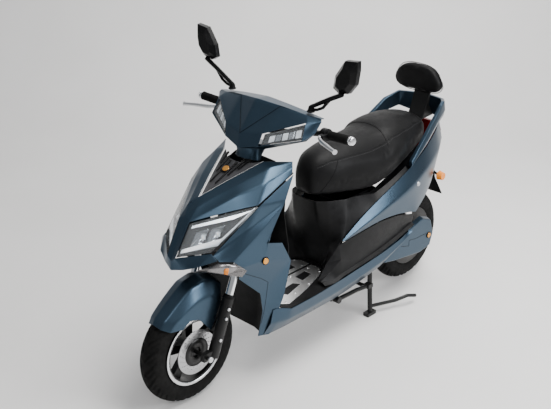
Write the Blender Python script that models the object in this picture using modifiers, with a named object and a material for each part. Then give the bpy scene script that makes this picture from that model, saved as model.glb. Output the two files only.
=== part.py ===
"""Electric moped scooter on its centre stand, steering straight ahead.

+X forward, +Y to the rider's left, +Z up; the origin is under the middle of the scooter on the ground.
"""

import math

import bmesh
import bpy
from mathutils import Vector

# Driving dimensions, in metres.
TYRE_RADIUS = 0.210
TYRE_HALF_WIDTH = 0.044
RIM_RADIUS = 0.126
FRONT_AXLE = Vector((0.655, 0.0, 0.210))
REAR_AXLE = Vector((-0.660, 0.0, 0.220))
RAKE = math.radians(22.1)
STEER_FOOT = Vector((0.590, 0.0, 0.220))
LEG_FOOT = Vector((0.610, 0.0, 0.220))
LEG_SPREAD = 0.098
STEER_UP = Vector((-math.sin(RAKE), 0.0, math.cos(RAKE)))
SWINGARM_PIVOT = Vector((-0.250, 0.0, 0.290))
STAND_PIVOT = Vector((-0.293, 0.0, 0.235))
SIDE_STAND_PIVOT = Vector((-0.020, 0.150, 0.190))
SEAT_HINGE = Vector((0.030, 0.0, 0.628))
PANEL = 0.0030
GAP = 0.0004

for old in list(bpy.data.objects):
    bpy.data.objects.remove(old, do_unlink=True)

scooter = bpy.data.collections.new("moped_scooter")
cutters = bpy.data.collections.new("cutters")
bpy.context.scene.collection.children.link(scooter)
bpy.context.scene.collection.children.link(cutters)

COLOURS = {
    "body_paint": ((0.075, 0.150, 0.235), 0.32, 0.75),
    "black_plastic": ((0.018, 0.018, 0.020), 0.55, 0.0),
    "grey_grille": ((0.070, 0.080, 0.095), 0.50, 0.1),
    "seat_leather": ((0.022, 0.022, 0.024), 0.60, 0.0),
    "tread_silver": ((0.800, 0.800, 0.800), 0.35, 0.6),
    "chrome": ((0.850, 0.850, 0.860), 0.10, 1.0),
    "black_metal": ((0.020, 0.020, 0.022), 0.40, 0.5),
    "lens_clear": ((0.750, 0.790, 0.820), 0.10, 0.0),
    "lens_red": ((0.600, 0.030, 0.030), 0.15, 0.0),
    "lens_amber": ((0.750, 0.230, 0.020), 0.15, 0.0),
    "tyre_rubber": ((0.020, 0.020, 0.020), 0.85, 0.0),
    "grip_rubber": ((0.020, 0.020, 0.020), 0.75, 0.0),
    "disc_steel": ((0.600, 0.600, 0.610), 0.30, 1.0),
}


def material(name, slot):
    """The sub-part's own material in its slot's colour."""
    colour, roughness, metallic = COLOURS[slot]
    made = bpy.data.materials.new(name)
    made.use_nodes = True
    shader = made.node_tree.nodes["Principled BSDF"]
    shader.inputs["Base Color"].default_value = (*colour, 1.0)
    shader.inputs["Roughness"].default_value = roughness
    shader.inputs["Metallic"].default_value = metallic
    return made


def place(name, data, slot=None, helper=False):
    """Links new data as a sub-part, or as a hidden operand for a Boolean."""
    made = bpy.data.objects.new(name, data)
    if helper:
        cutters.objects.link(made)
        made.hide_render = True
        made.display_type = "WIRE"
        return made
    scooter.objects.link(made)
    if slot:
        data.materials.clear()
        data.materials.append(material(name, slot))
    return made


def mesh_of(name, points, faces, inside=None):
    """A mesh whose faces all look one way: out of a closed shape, or away from the point inside."""
    shape = bmesh.new()
    verts = [shape.verts.new(point) for point in points]
    for face in faces:
        shape.faces.new([verts[i] for i in face])
    bmesh.ops.recalc_face_normals(shape, faces=shape.faces[:])
    if inside is not None:
        shape.normal_update()
        centre = Vector(inside)
        facing = sum(f.normal.dot(f.calc_center_median() - centre) * f.calc_area() for f in shape.faces)
        if facing < 0.0:
            bmesh.ops.reverse_faces(shape, faces=shape.faces[:])
    data = bpy.data.meshes.new(name)
    shape.to_mesh(data)
    shape.free()
    return data


def both_sides(points):
    """The points with their mirror images over the centre plane, for left and right panels."""
    return points, [(x, -y, z) for x, y, z in points]


def cage(name, slot, points, faces, inside, mirror=False, thickness=PANEL, helper=False):
    """A panel of flat facets, thickened inwards."""
    made = place(name, mesh_of(name, points, faces, inside), slot, helper)
    if mirror:
        half = made.modifiers.new("halves", "MIRROR")
        half.use_axis = (False, True, False)
        half.merge_threshold = 0.0001
    wall = made.modifiers.new("wall", "SOLIDIFY")
    wall.thickness = thickness
    wall.offset = -1.0
    return made


def pair(name, slot, points, faces, inside, thickness=PANEL):
    """A left panel and its mirror image."""
    left, right = both_sides(points)
    mirrored = (inside[0], -inside[1], inside[2])
    cage(name + "_left", slot, left, faces, inside, thickness=thickness)
    cage(name + "_right", slot, right, faces, mirrored, thickness=thickness)


def grid_faces(rows, columns, wrap=False):
    """Quads over a grid of points stored row by row."""
    found = []
    for r in range(rows - 1):
        for c in range(columns if wrap else columns - 1):
            a = r * columns + c
            b = r * columns + (c + 1) % columns
            found.append((a, b, b + columns, a + columns))
    return found


def loft_data(name, rings):
    """A closed solid through rings of equal count, with a cap at each end."""
    count = len(rings[0])
    points = [point for ring in rings for point in ring]
    faces = grid_faces(len(rings), count, wrap=True)
    faces.append(tuple(range(count)))
    faces.append(tuple(range((len(rings) - 1) * count, len(rings) * count)))
    return mesh_of(name, points, faces)


def loft(name, slot, rings, helper=False):
    return place(name, loft_data(name, rings), slot, helper)


def prism(name, slot, outline, shift, helper=False):
    """An outline in space and its copy moved by shift, joined into a solid."""
    step = Vector(shift)
    near = [Vector(point) for point in outline]
    far = [point + step for point in near]
    return loft(name, slot, [near, far], helper)


def box(name, slot, low, high, helper=False):
    x0, y0, z0 = low
    x1, y1, z1 = high
    floor = [(x0, y0, z0), (x1, y0, z0), (x1, y1, z0), (x0, y1, z0)]
    return prism(name, slot, floor, (0.0, 0.0, z1 - z0), helper)


def rod(name, slot, start, end, radius, sides=16, helper=False, end_radius=None):
    """A straight round bar between two points."""
    start, end = Vector(start), Vector(end)
    along = (end - start).normalized()
    across = along.orthogonal().normalized()
    other = along.cross(across)
    rings = []
    for centre, size in ((start, radius), (end, end_radius or radius)):
        turns = [2.0 * math.pi * i / sides for i in range(sides)]
        rings.append([centre + size * (math.cos(t) * across + math.sin(t) * other) for t in turns])
    return loft(name, slot, rings, helper)


def tube(name, slot, points, radius, helper=False):
    """A round bar bent through the points."""
    line = bpy.data.curves.new(name, "CURVE")
    line.dimensions = "3D"
    line.bevel_depth = radius
    line.bevel_resolution = 2
    line.use_fill_caps = True
    spline = line.splines.new("POLY")
    spline.points.add(len(points) - 1)
    for target, point in zip(spline.points, points):
        target.co = (*point, 1.0)
    made = bpy.data.objects.new(name + "_line", line)
    cutters.objects.link(made)
    made.hide_render = True
    bpy.context.view_layer.update()
    evaluated = made.evaluated_get(bpy.context.evaluated_depsgraph_get())
    data = bpy.data.meshes.new_from_object(evaluated)
    data.name = name
    bpy.data.objects.remove(made, do_unlink=True)
    shape = bmesh.new()
    shape.from_mesh(data)
    bmesh.ops.remove_doubles(shape, verts=shape.verts[:], dist=0.00001)
    bmesh.ops.recalc_face_normals(shape, faces=shape.faces[:])
    shape.to_mesh(data)
    shape.free()
    return place(name, data, slot, helper)


def lathe(name, slot, profile, centre, axis="Y", closed=False, steps=40, helper=False):
    """A profile of (radius, height) turned about Y through the centre; a closed one makes a ring."""
    if closed:
        around = zip(profile, profile[1:] + profile[:1])
        if sum(a[0] * b[1] - b[0] * a[1] for a, b in around) > 0.0:
            profile = profile[::-1]
    data = bpy.data.meshes.new(name)
    edges = [(i, i + 1) for i in range(len(profile) - 1)]
    if closed:
        edges.append((len(profile) - 1, 0))
    data.from_pydata([(r, 0.0, h) for r, h in profile], edges, [])
    made = place(name, data, slot, helper)
    turn = made.modifiers.new("turn", "SCREW")
    turn.steps = steps
    turn.render_steps = steps
    turn.use_merge_vertices = True
    turn.merge_threshold = 0.00001
    made.location = centre
    if axis == "Y":
        made.rotation_euler = (-math.pi / 2.0, 0.0, 0.0)
    return made


def boolean(target, tools, operation):
    for tool in tools:
        change = target.modifiers.new(operation.lower(), "BOOLEAN")
        change.operation = operation
        change.solver = "EXACT"
        change.object = tool
    return target


def join(target, tools):
    return boolean(target, tools, "UNION")


def cut(target, tools):
    return boolean(target, tools, "DIFFERENCE")


def on_steer(height, forward=0.0, side=0.0):
    """The point on the steering axis at a height above the ground, moved square to the axis."""
    along = (height - STEER_FOOT.z) / STEER_UP.z
    square = Vector((math.cos(RAKE), 0.0, math.sin(RAKE)))
    return STEER_FOOT + along * STEER_UP + forward * square + Vector((0.0, side, 0.0))


def on_leg(height, side):
    """The point on a fork leg's axis at a height above the ground."""
    along = (height - LEG_FOOT.z) / STEER_UP.z
    return LEG_FOOT + along * STEER_UP + Vector((0.0, side, 0.0))


# Wheels and tyres.
def tyre(name, centre):
    outer = [
        (RIM_RADIUS + 0.002, 0.0362),
        (0.1362, 0.0366),
        (0.142, 0.0400),
        (0.165, TYRE_HALF_WIDTH),
        (0.186, 0.0415),
        (0.202, 0.0290),
        (TYRE_RADIUS, 0.0120),
    ]
    profile = outer + [(r, -h) for r, h in reversed(outer)]
    lathe(name, "tyre_rubber", profile, centre, closed=True, steps=44)


tyre("front_tyre", FRONT_AXLE)
tyre("rear_tyre", REAR_AXLE)

rim_profile = [
    (0.1350, 0.0425),
    (0.1350, 0.0375),
    (RIM_RADIUS, 0.0370),
    (RIM_RADIUS, -0.0370),
    (0.1350, -0.0375),
    (0.1350, -0.0425),
    (0.1180, -0.0400),
    (0.1180, 0.0400),
]
front_rim = lathe("front_rim", "black_metal", rim_profile, FRONT_AXLE, closed=True, steps=44)
hub_profile = [(0.0, 0.044), (0.030, 0.044), (0.034, 0.030), (0.034, -0.030), (0.030, -0.040), (0.0, -0.040)]
rim_tools = [lathe("front_hub", None, hub_profile, FRONT_AXLE, steps=24, helper=True)]
for i in range(5):
    turn = 2.0 * math.pi * i / 5.0 + math.radians(18.0)
    out = Vector((math.cos(turn), 0.0, math.sin(turn)))
    side = Vector((-out.z, 0.0, out.x))
    spoke = []
    for reach, wide in ((0.026, 0.013), (0.122, 0.021)):
        spoke.append([FRONT_AXLE + out * reach + side * s * wide + Vector((0.0, h * 0.012, 0.0))
                      for s, h in ((-1, -1), (1, -1), (1, 1), (-1, 1))])
    rim_tools.append(loft(f"front_spoke_{i}", None, spoke, helper=True))
join(front_rim, rim_tools)
cut(front_rim, [rod("front_bore", None, FRONT_AXLE + Vector((0, -0.1, 0)), FRONT_AXLE + Vector((0, 0.1, 0)),
                    0.0080, helper=True)])

disc = lathe("brake_disc", "disc_steel", [(0.088, 0.002), (0.088, -0.002), (0.050, -0.002), (0.050, 0.002)],
             FRONT_AXLE + Vector((0.0, 0.0485, 0.0)), closed=True, steps=40)
carrier = lathe("disc_carrier", None, [(0.052, 0.0015), (0.052, -0.0015), (0.020, -0.0015), (0.020, 0.0015)],
                FRONT_AXLE + Vector((0.0, 0.0485, 0.0)), closed=True, steps=40, helper=True)
join(disc, [carrier])

hub_motor = [
    (0.0100, 0.0600), (0.0500, 0.0600), (0.0900, 0.0500), (0.1120, 0.0420), (0.1350, 0.0425), (0.1350, 0.0375),
    (RIM_RADIUS, 0.0370), (RIM_RADIUS, -0.0370), (0.1350, -0.0375), (0.1350, -0.0425), (0.1120, -0.0420),
    (0.0900, -0.0500), (0.0500, -0.0600), (0.0100, -0.0600),
]
lathe("rear_hub_motor", "black_metal", hub_motor, REAR_AXLE, closed=True, steps=44)

# Front fork: sliding lower legs with the axle, under the steering head's stanchions.
LEG_TOP = 0.413
legs = []
for side, label in ((1.0, "left"), (-1.0, "right")):
    y = side * LEG_SPREAD
    legs.append(rod(f"leg_{label}", None, on_leg(0.195, y), on_leg(LEG_TOP, y), 0.0215, helper=True))
    foot = on_leg(0.212, y)
    lug = [Vector((foot.x - 0.012, foot.y - 0.010, 0.195)), Vector((FRONT_AXLE.x + 0.016, foot.y - 0.010, 0.195)),
           Vector((FRONT_AXLE.x + 0.016, foot.y - 0.010, 0.226)), Vector((foot.x - 0.018, foot.y - 0.010, 0.226))]
    legs.append(prism(f"lug_{label}", None, lug, (0.0, 0.020, 0.0), helper=True))
fork_lower = rod("fork_lower", "black_metal", FRONT_AXLE + Vector((0, -0.122, 0)),
                 FRONT_AXLE + Vector((0, 0.122, 0)), 0.0075)
join(fork_lower, legs)
bores = [rod(f"leg_bore_{s}", None, on_leg(0.225, s * LEG_SPREAD), on_leg(0.45, s * LEG_SPREAD), 0.0158, helper=True)
         for s in (1, -1)]
cut(fork_lower, bores)

caliper = box("brake_caliper", "black_metal", (0.545, 0.0525, 0.262), (0.588, 0.0745, 0.304))
bridge = box("caliper_bridge", None, (0.542, 0.0436, 0.262), (0.5655, 0.0740, 0.304), helper=True)
join(caliper, [bridge])
cut(caliper, [lathe("caliper_slot", None, [(0.0, 0.0035), (0.0905, 0.0035), (0.0905, -0.0035), (0.0, -0.0035)],
                    FRONT_AXLE + Vector((0.0, 0.0485, 0.0)), steps=32, helper=True)])

# Front fender: a creased arch over the tyre.
fender_rows = [
    (0.809, 0.000, 0.371), (0.802, 0.034, 0.360), (0.776, 0.056, 0.346), (0.727, 0.066, 0.341),
    (0.797, 0.000, 0.392), (0.786, 0.036, 0.386), (0.752, 0.060, 0.380), (0.712, 0.069, 0.356),
    (0.735, 0.000, 0.442), (0.728, 0.040, 0.432), (0.712, 0.064, 0.402), (0.694, 0.071, 0.366),
    (0.662, 0.000, 0.486), (0.660, 0.042, 0.474), (0.658, 0.067, 0.425), (0.656, 0.0725, 0.355),
    (0.600, 0.000, 0.496), (0.600, 0.043, 0.484), (0.608, 0.069, 0.420), (0.624, 0.0735, 0.318),
    (0.548, 0.000, 0.482), (0.552, 0.045, 0.470), (0.570, 0.070, 0.405), (0.604, 0.0740, 0.290),
    (0.518, 0.000, 0.454), (0.523, 0.046, 0.444), (0.548, 0.071, 0.390), (0.584, 0.0745, 0.320),
]
cage("front_fender", "body_paint", fender_rows, grid_faces(7, 4), FRONT_AXLE, mirror=True)

# Steering head: yoke, stanchions and stem; handlebar on top.
yoke_low, yoke_high = 0.552, 0.580
outline = [on_steer(yoke_low, -0.022, 0.030), on_steer(yoke_low, 0.000, 0.118), on_steer(yoke_low, 0.040, 0.118),
           on_steer(yoke_low, 0.045, 0.030)]
outline = outline + [Vector((p.x, -p.y, p.z)) for p in reversed(outline)]
steering = prism("steering_stem", "black_metal", outline, STEER_UP * (yoke_high - yoke_low))
head_parts = [rod("stem_bar", None, on_steer(yoke_low + 0.01), on_steer(0.946), 0.0160, helper=True)]
head_parts += [rod(f"stanchion_{s}", None, on_leg(0.300, s * LEG_SPREAD), on_leg(0.588, s * LEG_SPREAD), 0.0150,
                   helper=True) for s in (1, -1)]
join(steering, head_parts)

BAR_CENTRE = Vector((0.272, 0.0, 0.962))
GRIP_IN = Vector((0.190, 0.235, 0.980))
BAR_END = Vector((0.206, 0.377, 0.992))
half_bar = [BAR_END, GRIP_IN, Vector((0.232, 0.100, 0.964)), BAR_CENTRE]
bar_line = half_bar + [Vector((p.x, -p.y, p.z)) for p in reversed(half_bar[:-1])]
handlebar = tube("handlebar", "black_metal", bar_line, 0.0110)
bar_along = (BAR_END - GRIP_IN).normalized()


def along_bar(share, side):
    """A point on the bar's straight end: 0 at the grip's inner end, 1 at the tip."""
    found = GRIP_IN + (BAR_END - GRIP_IN) * share
    return Vector((found.x, found.y * side, found.z))


def sleeve(name, slot, start, end, side, outer, inner, sides=20):
    shell = rod(name, slot, along_bar(start, side), along_bar(end, side), outer, sides=sides)
    hole = rod(name + "_hole", None, along_bar(start - 0.3, side), along_bar(end + 0.3, side), inner, sides=sides,
               helper=True)
    return cut(shell, [hole])


sleeve("grip_left", "grip_rubber", 0.28, 0.955, 1.0, 0.0165, 0.0113)
sleeve("throttle_grip", "grip_rubber", 0.28, 0.955, -1.0, 0.0165, 0.0116)
for side, label in ((1.0, "left"), (-1.0, "right")):
    join(handlebar, [rod(f"bar_end_{label}", None, along_bar(0.965, side), along_bar(1.07, side), 0.0150,
                         end_radius=0.0120, helper=True)])
    pod = sleeve(f"switch_pod_{label}", "black_plastic", 0.02, 0.19, side, 0.0220, 0.0113)
    hinge = along_bar(0.17, side) + Vector((0.045, 0.0, -0.002))
    arm = box(f"perch_{label}", None, (hinge.x - 0.040, hinge.y - 0.011, hinge.z - 0.009),
              (hinge.x - 0.008, hinge.y + 0.011, hinge.z + 0.009), helper=True)
    pod.modifiers.clear()
    bore = bpy.data.objects[f"switch_pod_{label}_hole"]
    join(pod, [arm])
    cut(pod, [bore])
    tip = Vector((0.296, side * 0.382, 0.978))
    knee = hinge + Vector((0.020, side * 0.030, -0.002))
    across = Vector((0.0, 0.0, 0.006))
    blade = [hinge + Vector((-0.006, side * -0.006, 0.0)), hinge + Vector((0.008, side * -0.008, 0.0)),
             knee + Vector((0.008, side * -0.002, 0.0)), tip + Vector((0.006, 0.0, 0.0)),
             tip + Vector((-0.003, side * 0.004, 0.0)), knee + Vector((-0.006, side * 0.006, 0.0)),
             hinge + Vector((-0.006, side * 0.008, 0.0))]
    prism(f"brake_lever_{label}", "chrome", [p - across for p in blade], across * 2.0)

# Handlebar cowl: facets that meet in a V at the front.
COWL_INSIDE = (0.20, 0.0, 0.99)
cowl_points = [
    (0.380, 0.000, 0.918), (0.369, 0.000, 0.971), (0.284, 0.000, 1.079), (0.222, 0.000, 1.074),
    (0.364, 0.082, 0.938), (0.350, 0.092, 0.986), (0.262, 0.100, 1.068), (0.214, 0.100, 1.064),
    (0.294, 0.228, 0.976), (0.262, 0.218, 1.034), (0.240, 0.200, 1.052), (0.206, 0.200, 1.050),
    (0.240, 0.243, 0.994), (0.226, 0.258, 1.036), (0.219, 0.252, 1.046), (0.203, 0.250, 1.043),
    (0.345, 0.030, 0.912), (0.330, 0.090, 0.922), (0.262, 0.222, 0.966),
]
cowl_faces = [
    (1, 5, 6), (1, 6, 2), (2, 6, 7, 3), (0, 4, 5, 1), (5, 9, 10, 6), (6, 10, 11, 7), (8, 12, 13, 9), (9, 13, 14, 10),
    (10, 14, 15, 11), (0, 16, 17, 4), (4, 17, 18, 8), (8, 18, 12),
]
cage("handlebar_cowl", "body_paint", cowl_points, cowl_faces, COWL_INSIDE, mirror=True)
light_outline = [(0.3560, 0.095, 0.9440), (0.3450, 0.100, 0.9815), (0.2640, 0.214, 1.0240), (0.2905, 0.226, 0.9790)]
for side, label in ((1.0, "left"), (-1.0, "right")):
    shape = [(x, side * y, z) for x, y, z in light_outline]
    prism(f"cowl_light_{label}", "lens_clear", shape, (-0.016, side * -0.006, 0.0))
rod("neck_cover", "black_plastic", on_steer(0.862), on_steer(0.925), 0.0420, end_radius=0.0400, sides=24)
cut(bpy.data.objects["neck_cover"], [rod("neck_hole", None, on_steer(0.80), on_steer(0.98), 0.0165, helper=True)])
dash_outline = [(0.210, 0.120, 1.000), (0.196, 0.130, 1.048), (0.196, -0.130, 1.048), (0.210, -0.120, 1.000)]
prism("dashboard", "black_plastic", dash_outline, (0.014, 0.0, 0.002))

# Mirrors: a stem that swivels on the cowl and a faceted head.
for side, label in ((1.0, "left"), (-1.0, "right")):
    stem = [Vector((0.214, side * 0.198, 1.0580)), Vector((0.213, side * 0.198, 1.076)),
            Vector((0.214, side * 0.278, 1.120)), Vector((0.214, side * 0.338, 1.150))]
    pole = tube(f"mirror_stem_{label}", "black_plastic", stem, 0.0085)
    foot = rod(f"stem_foot_{label}", None, stem[0], stem[1], 0.0130, end_radius=0.0100, helper=True)
    join(pole, [foot])
    head = [(0.316, 1.144), (0.356, 1.153), (0.386, 1.190), (0.394, 1.240), (0.393, 1.272), (0.338, 1.266),
            (0.296, 1.206), (0.288, 1.160)]
    back = [Vector((0.188, side * y, z)) for y, z in head]
    middle = sum(back, Vector()) / len(back)
    belly = [middle + (p - middle) * 0.98 + Vector((0.018, 0.0, 0.0)) for p in back]
    nose = [middle + (p - middle) * 0.62 + Vector((0.034, 0.0, 0.0)) for p in back]
    loft(f"mirror_head_{label}", "black_plastic", [back, belly, nose])
    cut(bpy.data.objects[f"mirror_head_{label}"],
        [rod(f"head_socket_{label}", None, stem[2], stem[3] + (stem[3] - stem[2]) * 0.12, 0.0105, helper=True)])

# Nose fairing with openings for the grille and the headlights.
NOSE_INSIDE = (0.45, 0.0, 0.66)
nose_points = [
    (0.574, 0.000, 0.787), (0.641, 0.000, 0.735), (0.712, 0.000, 0.590), (0.717, 0.000, 0.552),
    (0.463, 0.052, 0.838), (0.352, 0.102, 0.884), (0.278, 0.172, 0.882),
    (0.600, 0.024, 0.768), (0.475, 0.086, 0.826), (0.360, 0.138, 0.872),
    (0.645, 0.026, 0.722), (0.712, 0.020, 0.604), (0.634, 0.122, 0.628), (0.457, 0.174, 0.770),
    (0.515, 0.128, 0.758), (0.700, 0.050, 0.564), (0.680, 0.098, 0.584), (0.628, 0.145, 0.606),
    (0.292, 0.184, 0.844), (0.287, 0.181, 0.863), (0.408, 0.159, 0.830), (0.498, 0.110, 0.800),
]
nose_faces = [
    (0, 7, 1), (0, 4, 8, 7), (4, 5, 9, 8), (5, 6, 9), (1, 7, 10), (7, 8, 21, 10), (8, 9, 20, 21), (9, 6, 19, 20),
    (10, 21, 14), (21, 20, 13, 14), (20, 19, 18, 13),
    (1, 10, 11, 2), (2, 11, 15, 3), (11, 12, 16, 15), (12, 17, 16),
]
cage("nose_fairing", "body_paint", nose_points, nose_faces, NOSE_INSIDE, mirror=True)
grille_points = [
    (0.563, 0.000, 0.7900), (0.463, 0.000, 0.8400), (0.392, 0.000, 0.8700),
    (0.461, 0.0455, 0.8370), (0.352, 0.0950, 0.8820), (0.385, 0.050, 0.8720),
]
cage("grille_panel", "grey_grille", grille_points, [(0, 3, 1), (1, 3, 4, 5), (1, 5, 2)], NOSE_INSIDE, mirror=True)

lamp_outline = [(0.6440, 0.0320, 0.7130), (0.5150, 0.1300, 0.7480), (0.4640, 0.1720, 0.7620), (0.6310, 0.1180, 0.6360),
                (0.7060, 0.0260, 0.6110)]
for side, label in ((1.0, "left"), (-1.0, "right")):
    shape = [(x, side * y, z) for x, y, z in lamp_outline]
    prism(f"headlight_{label}", "lens_clear", shape, (-0.040, side * -0.016, -0.004))

# Apron sides: the painted shields beside the legs, with the wheel arch's edge.
apron_points = [
    (0.289, 0.187, 0.839), (0.452, 0.178, 0.7655), (0.630, 0.1265, 0.6210), (0.622, 0.1500, 0.6025),
    (0.575, 0.172, 0.592), (0.345, 0.200, 0.757), (0.500, 0.170, 0.690), (0.462, 0.192, 0.672),
    (0.387, 0.200, 0.700), (0.435, 0.200, 0.625), (0.360, 0.200, 0.600), (0.313, 0.200, 0.511),
    (0.338, 0.190, 0.372), (0.352, 0.180, 0.325), (0.372, 0.145, 0.200), (0.415, 0.128, 0.203),
    (0.416, 0.155, 0.322), (0.437, 0.164, 0.408), (0.544, 0.164, 0.510), (0.545, 0.180, 0.562),
    (0.445, 0.197, 0.560),
]
apron_faces = [
    (0, 1, 5), (1, 6, 5), (1, 2, 6), (2, 3, 4, 6), (6, 4, 7), (6, 7, 5), (7, 8, 5), (7, 4, 20), (7, 20, 9, 8),
    (4, 19, 20), (19, 18, 20), (18, 17, 11, 20), (20, 11, 10, 9), (17, 16, 12, 11), (16, 15, 14, 13), (16, 13, 12),
]
pair("apron", "body_paint", apron_points, apron_faces, (0.45, 0.0, 0.55))
signal_outline = [(0.668, 0.088, 0.564), (0.620, 0.142, 0.592), (0.578, 0.164, 0.583), (0.548, 0.172, 0.554),
                  (0.560, 0.158, 0.526), (0.615, 0.122, 0.545)]
for side, label in ((1.0, "left"), (-1.0, "right")):
    shape = [(x, side * y, z) for x, y, z in signal_outline]
    prism(f"turn_signal_{label}", "lens_clear", shape, (-0.022, side * -0.022, -0.006))

# Rider's side of the front: leg shield, and the liner behind the front wheel.
shield_points = []
for x, half, z in ((0.262, 0.120, 0.850), (0.288, 0.165, 0.800), (0.320, 0.185, 0.700), (0.300, 0.188, 0.560),
                   (0.300, 0.182, 0.420), (0.325, 0.170, 0.330), (0.335, 0.160, 0.306)):
    shield_points += [(x - 0.012, 0.0, z), (x - 0.006, half * 0.55, z), (x + 0.012, half, z)]
cage("inner_leg_shield", "black_plastic", shield_points, grid_faces(7, 3), (0.5, 0.0, 0.5), mirror=True)
liner_points = []
for x, half, z in ((0.412, 0.152, 0.480), (0.402, 0.148, 0.400), (0.390, 0.142, 0.310),
                   (0.392, 0.120, 0.215)):
    liner_points += [(x, 0.0, z), (x, half * 0.7, z), (x + 0.010, half, z)]
cage("wheel_arch_liner", "black_plastic", liner_points, grid_faces(4, 3), (0.30, 0.0, 0.35), mirror=True)

# Floor: black board, two silver tread plates and the painted side skirts.
floor_outline = [(0.314, 0.150), (0.300, 0.182), (0.150, 0.185), (-0.060, 0.172), (-0.300, 0.166), (-0.330, 0.156),
                 (-0.330, 0.142), (-0.120, 0.142), (-0.120, 0.0)]
deck_points = [(x, y, 0.296) for x, y in floor_outline]
deck_points = deck_points + [(x, -y, z) for x, y, z in reversed(deck_points[:-1])]
prism("footboard", "black_plastic", deck_points, (0.0, 0.0, -0.004))
plate_outline = [(0.300, 0.006), (0.300, 0.140), (0.275, 0.160), (0.140, 0.128), (0.010, 0.085), (-0.020, 0.050),
                 (-0.020, 0.006)]
hole_outlines = [
    [(0.250, 0.070), (0.232, 0.110), (0.130, 0.085), (0.150, 0.058)],
    [(0.105, 0.030), (0.105, 0.072), (0.040, 0.060), (0.040, 0.024)],
]
for side, label in ((1.0, "left"), (-1.0, "right")):
    plate = prism(f"tread_plate_{label}", "tread_silver", [(x, side * y, 0.2965) for x, y in plate_outline],
                  (0.0, 0.0, 0.003))
    holes = [prism(f"tread_hole_{label}_{i}", None, [(x, side * y, 0.285) for x, y in hole], (0, 0, 0.03), helper=True)
             for i, hole in enumerate(hole_outlines)]
    cut(plate, holes)

skirt_points = []
for x, y_high, z_high, y_low, z_low in ((0.349, 0.181, 0.319, 0.144, 0.200), (0.300, 0.194, 0.300, 0.150, 0.202),
                                        (0.160, 0.196, 0.302, 0.158, 0.207), (0.000, 0.190, 0.306, 0.164, 0.214),
                                        (-0.125, 0.184, 0.312, 0.166, 0.228), (-0.275, 0.186, 0.325, 0.166, 0.252),
                                        (-0.400, 0.184, 0.348, 0.168, 0.300), (-0.462, 0.181, 0.366, 0.174, 0.350)):
    middle = ((y_high + y_low) / 2.0 + 0.012, (z_high + z_low) / 2.0)
    lean = 0.018 if x > 0.340 else 0.0
    skirt_points += [(x, y_high, z_high), (x + lean * 0.4, *middle), (x + lean, y_low, z_low),
                     (x + lean, y_low - 0.026, z_low - 0.004)]
pair("side_skirt", "body_paint", skirt_points, grid_faces(8, 4), (0.0, 0.0, 0.27))

# Steel frame that carries everything.
frame_start = on_steer(0.640)
spine = [frame_start, Vector((0.372, 0.0, 0.500)), Vector((0.345, 0.0, 0.300)), Vector((0.300, 0.0, 0.235))]
head_tube = rod("main_frame", "black_metal", on_steer(0.600), on_steer(0.800), 0.0300, sides=20)
frame_tools = [tube("down_tube", None, spine, 0.0200, helper=True)]
for side, label in ((1.0, "left"), (-1.0, "right")):
    rail = [Vector((0.300, side * 0.0, 0.235)), Vector((0.290, side * 0.122, 0.232)),
            Vector((-0.180, side * 0.122, 0.245)), Vector((-0.225, side * 0.118, 0.350)),
            Vector((-0.330, side * 0.110, 0.470)), Vector((-0.740, side * 0.085, 0.610))]
    frame_tools.append(tube(f"rail_{label}", None, rail, 0.0130, helper=True))
    lug = [(-0.215, side * 0.116, 0.330), (-0.165, side * 0.116, 0.236), (-0.300, side * 0.116, 0.212),
           (-0.316, side * 0.116, 0.245), (-0.262, side * 0.116, 0.312)]
    frame_tools.append(prism(f"pivot_plate_{label}", None, lug, (0.0, side * 0.008, 0.0), helper=True))
for at in (Vector((-0.160, 0.0, 0.244)), Vector((-0.420, 0.0, 0.501)), Vector((-0.735, 0.0, 0.608))):
    reach = 0.120 if at.x > -0.2 else (0.105 if at.x > -0.5 else 0.086)
    frame_tools.append(rod(f"cross_{len(frame_tools)}", None, at + Vector((0, -reach, 0)),
                           at + Vector((0, reach, 0)), 0.0110, helper=True))
stand_lug = [(-0.032, 0.114, 0.236), (-0.032, 0.114, 0.176), (-0.008, 0.114, 0.176), (-0.008, 0.114, 0.236)]
frame_tools.append(prism("side_stand_lug", None, stand_lug, (0.0, 0.014, 0.0), helper=True))
join(head_tube, frame_tools)
cut(head_tube, [rod("head_bore", None, on_steer(0.585), on_steer(0.82), 0.0165, sides=20, helper=True)])

# Under the seat: black skirt, helmet bucket, painted side panels and black lower flanks.
skirt_rows = []
for z, x_front, half_front, x_back, half_back in ((0.612, 0.030, 0.085, -0.090, 0.125),
                                                  (0.540, 0.020, 0.088, -0.080, 0.140),
                                                  (0.440, -0.006, 0.092, -0.040, 0.142),
                                                  (0.360, -0.030, 0.080, -0.010, 0.126),
                                                  (0.302, -0.042, 0.052, 0.000, 0.104)):
    skirt_rows += [(x_front, 0.0, z), (x_front - 0.004, half_front * 0.7, z), (x_front - 0.040, half_front + 0.010, z),
                   (x_back, half_back, z)]
side_wall = [(-0.250, 0.152, 0.584), (-0.360, 0.154, 0.618), (-0.448, 0.150, 0.652),
             (-0.250, 0.151, 0.520), (-0.360, 0.152, 0.560), (-0.448, 0.148, 0.600)]
skirt_faces = grid_faces(5, 4) + [(3, 20, 23, 7), (20, 21, 24, 23), (21, 22, 25, 24)]
cage("seat_skirt", "black_plastic", skirt_rows + side_wall, skirt_faces, (-0.3, 0.0, 0.45), mirror=True)

bucket_low, bucket_high = 0.400, 0.584
bucket_shape = [(-0.085, 0.095), (-0.310, 0.095), (-0.310, -0.095), (-0.085, -0.095)]
bucket = prism("storage_bucket", "black_plastic", [(x, y, bucket_low) for x, y in bucket_shape],
               (0.0, 0.0, bucket_high - bucket_low))
cut(bucket, [box("bucket_room", None, (-0.306, -0.091, bucket_low + 0.004), (-0.089, 0.091, 0.70), helper=True)])

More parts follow.
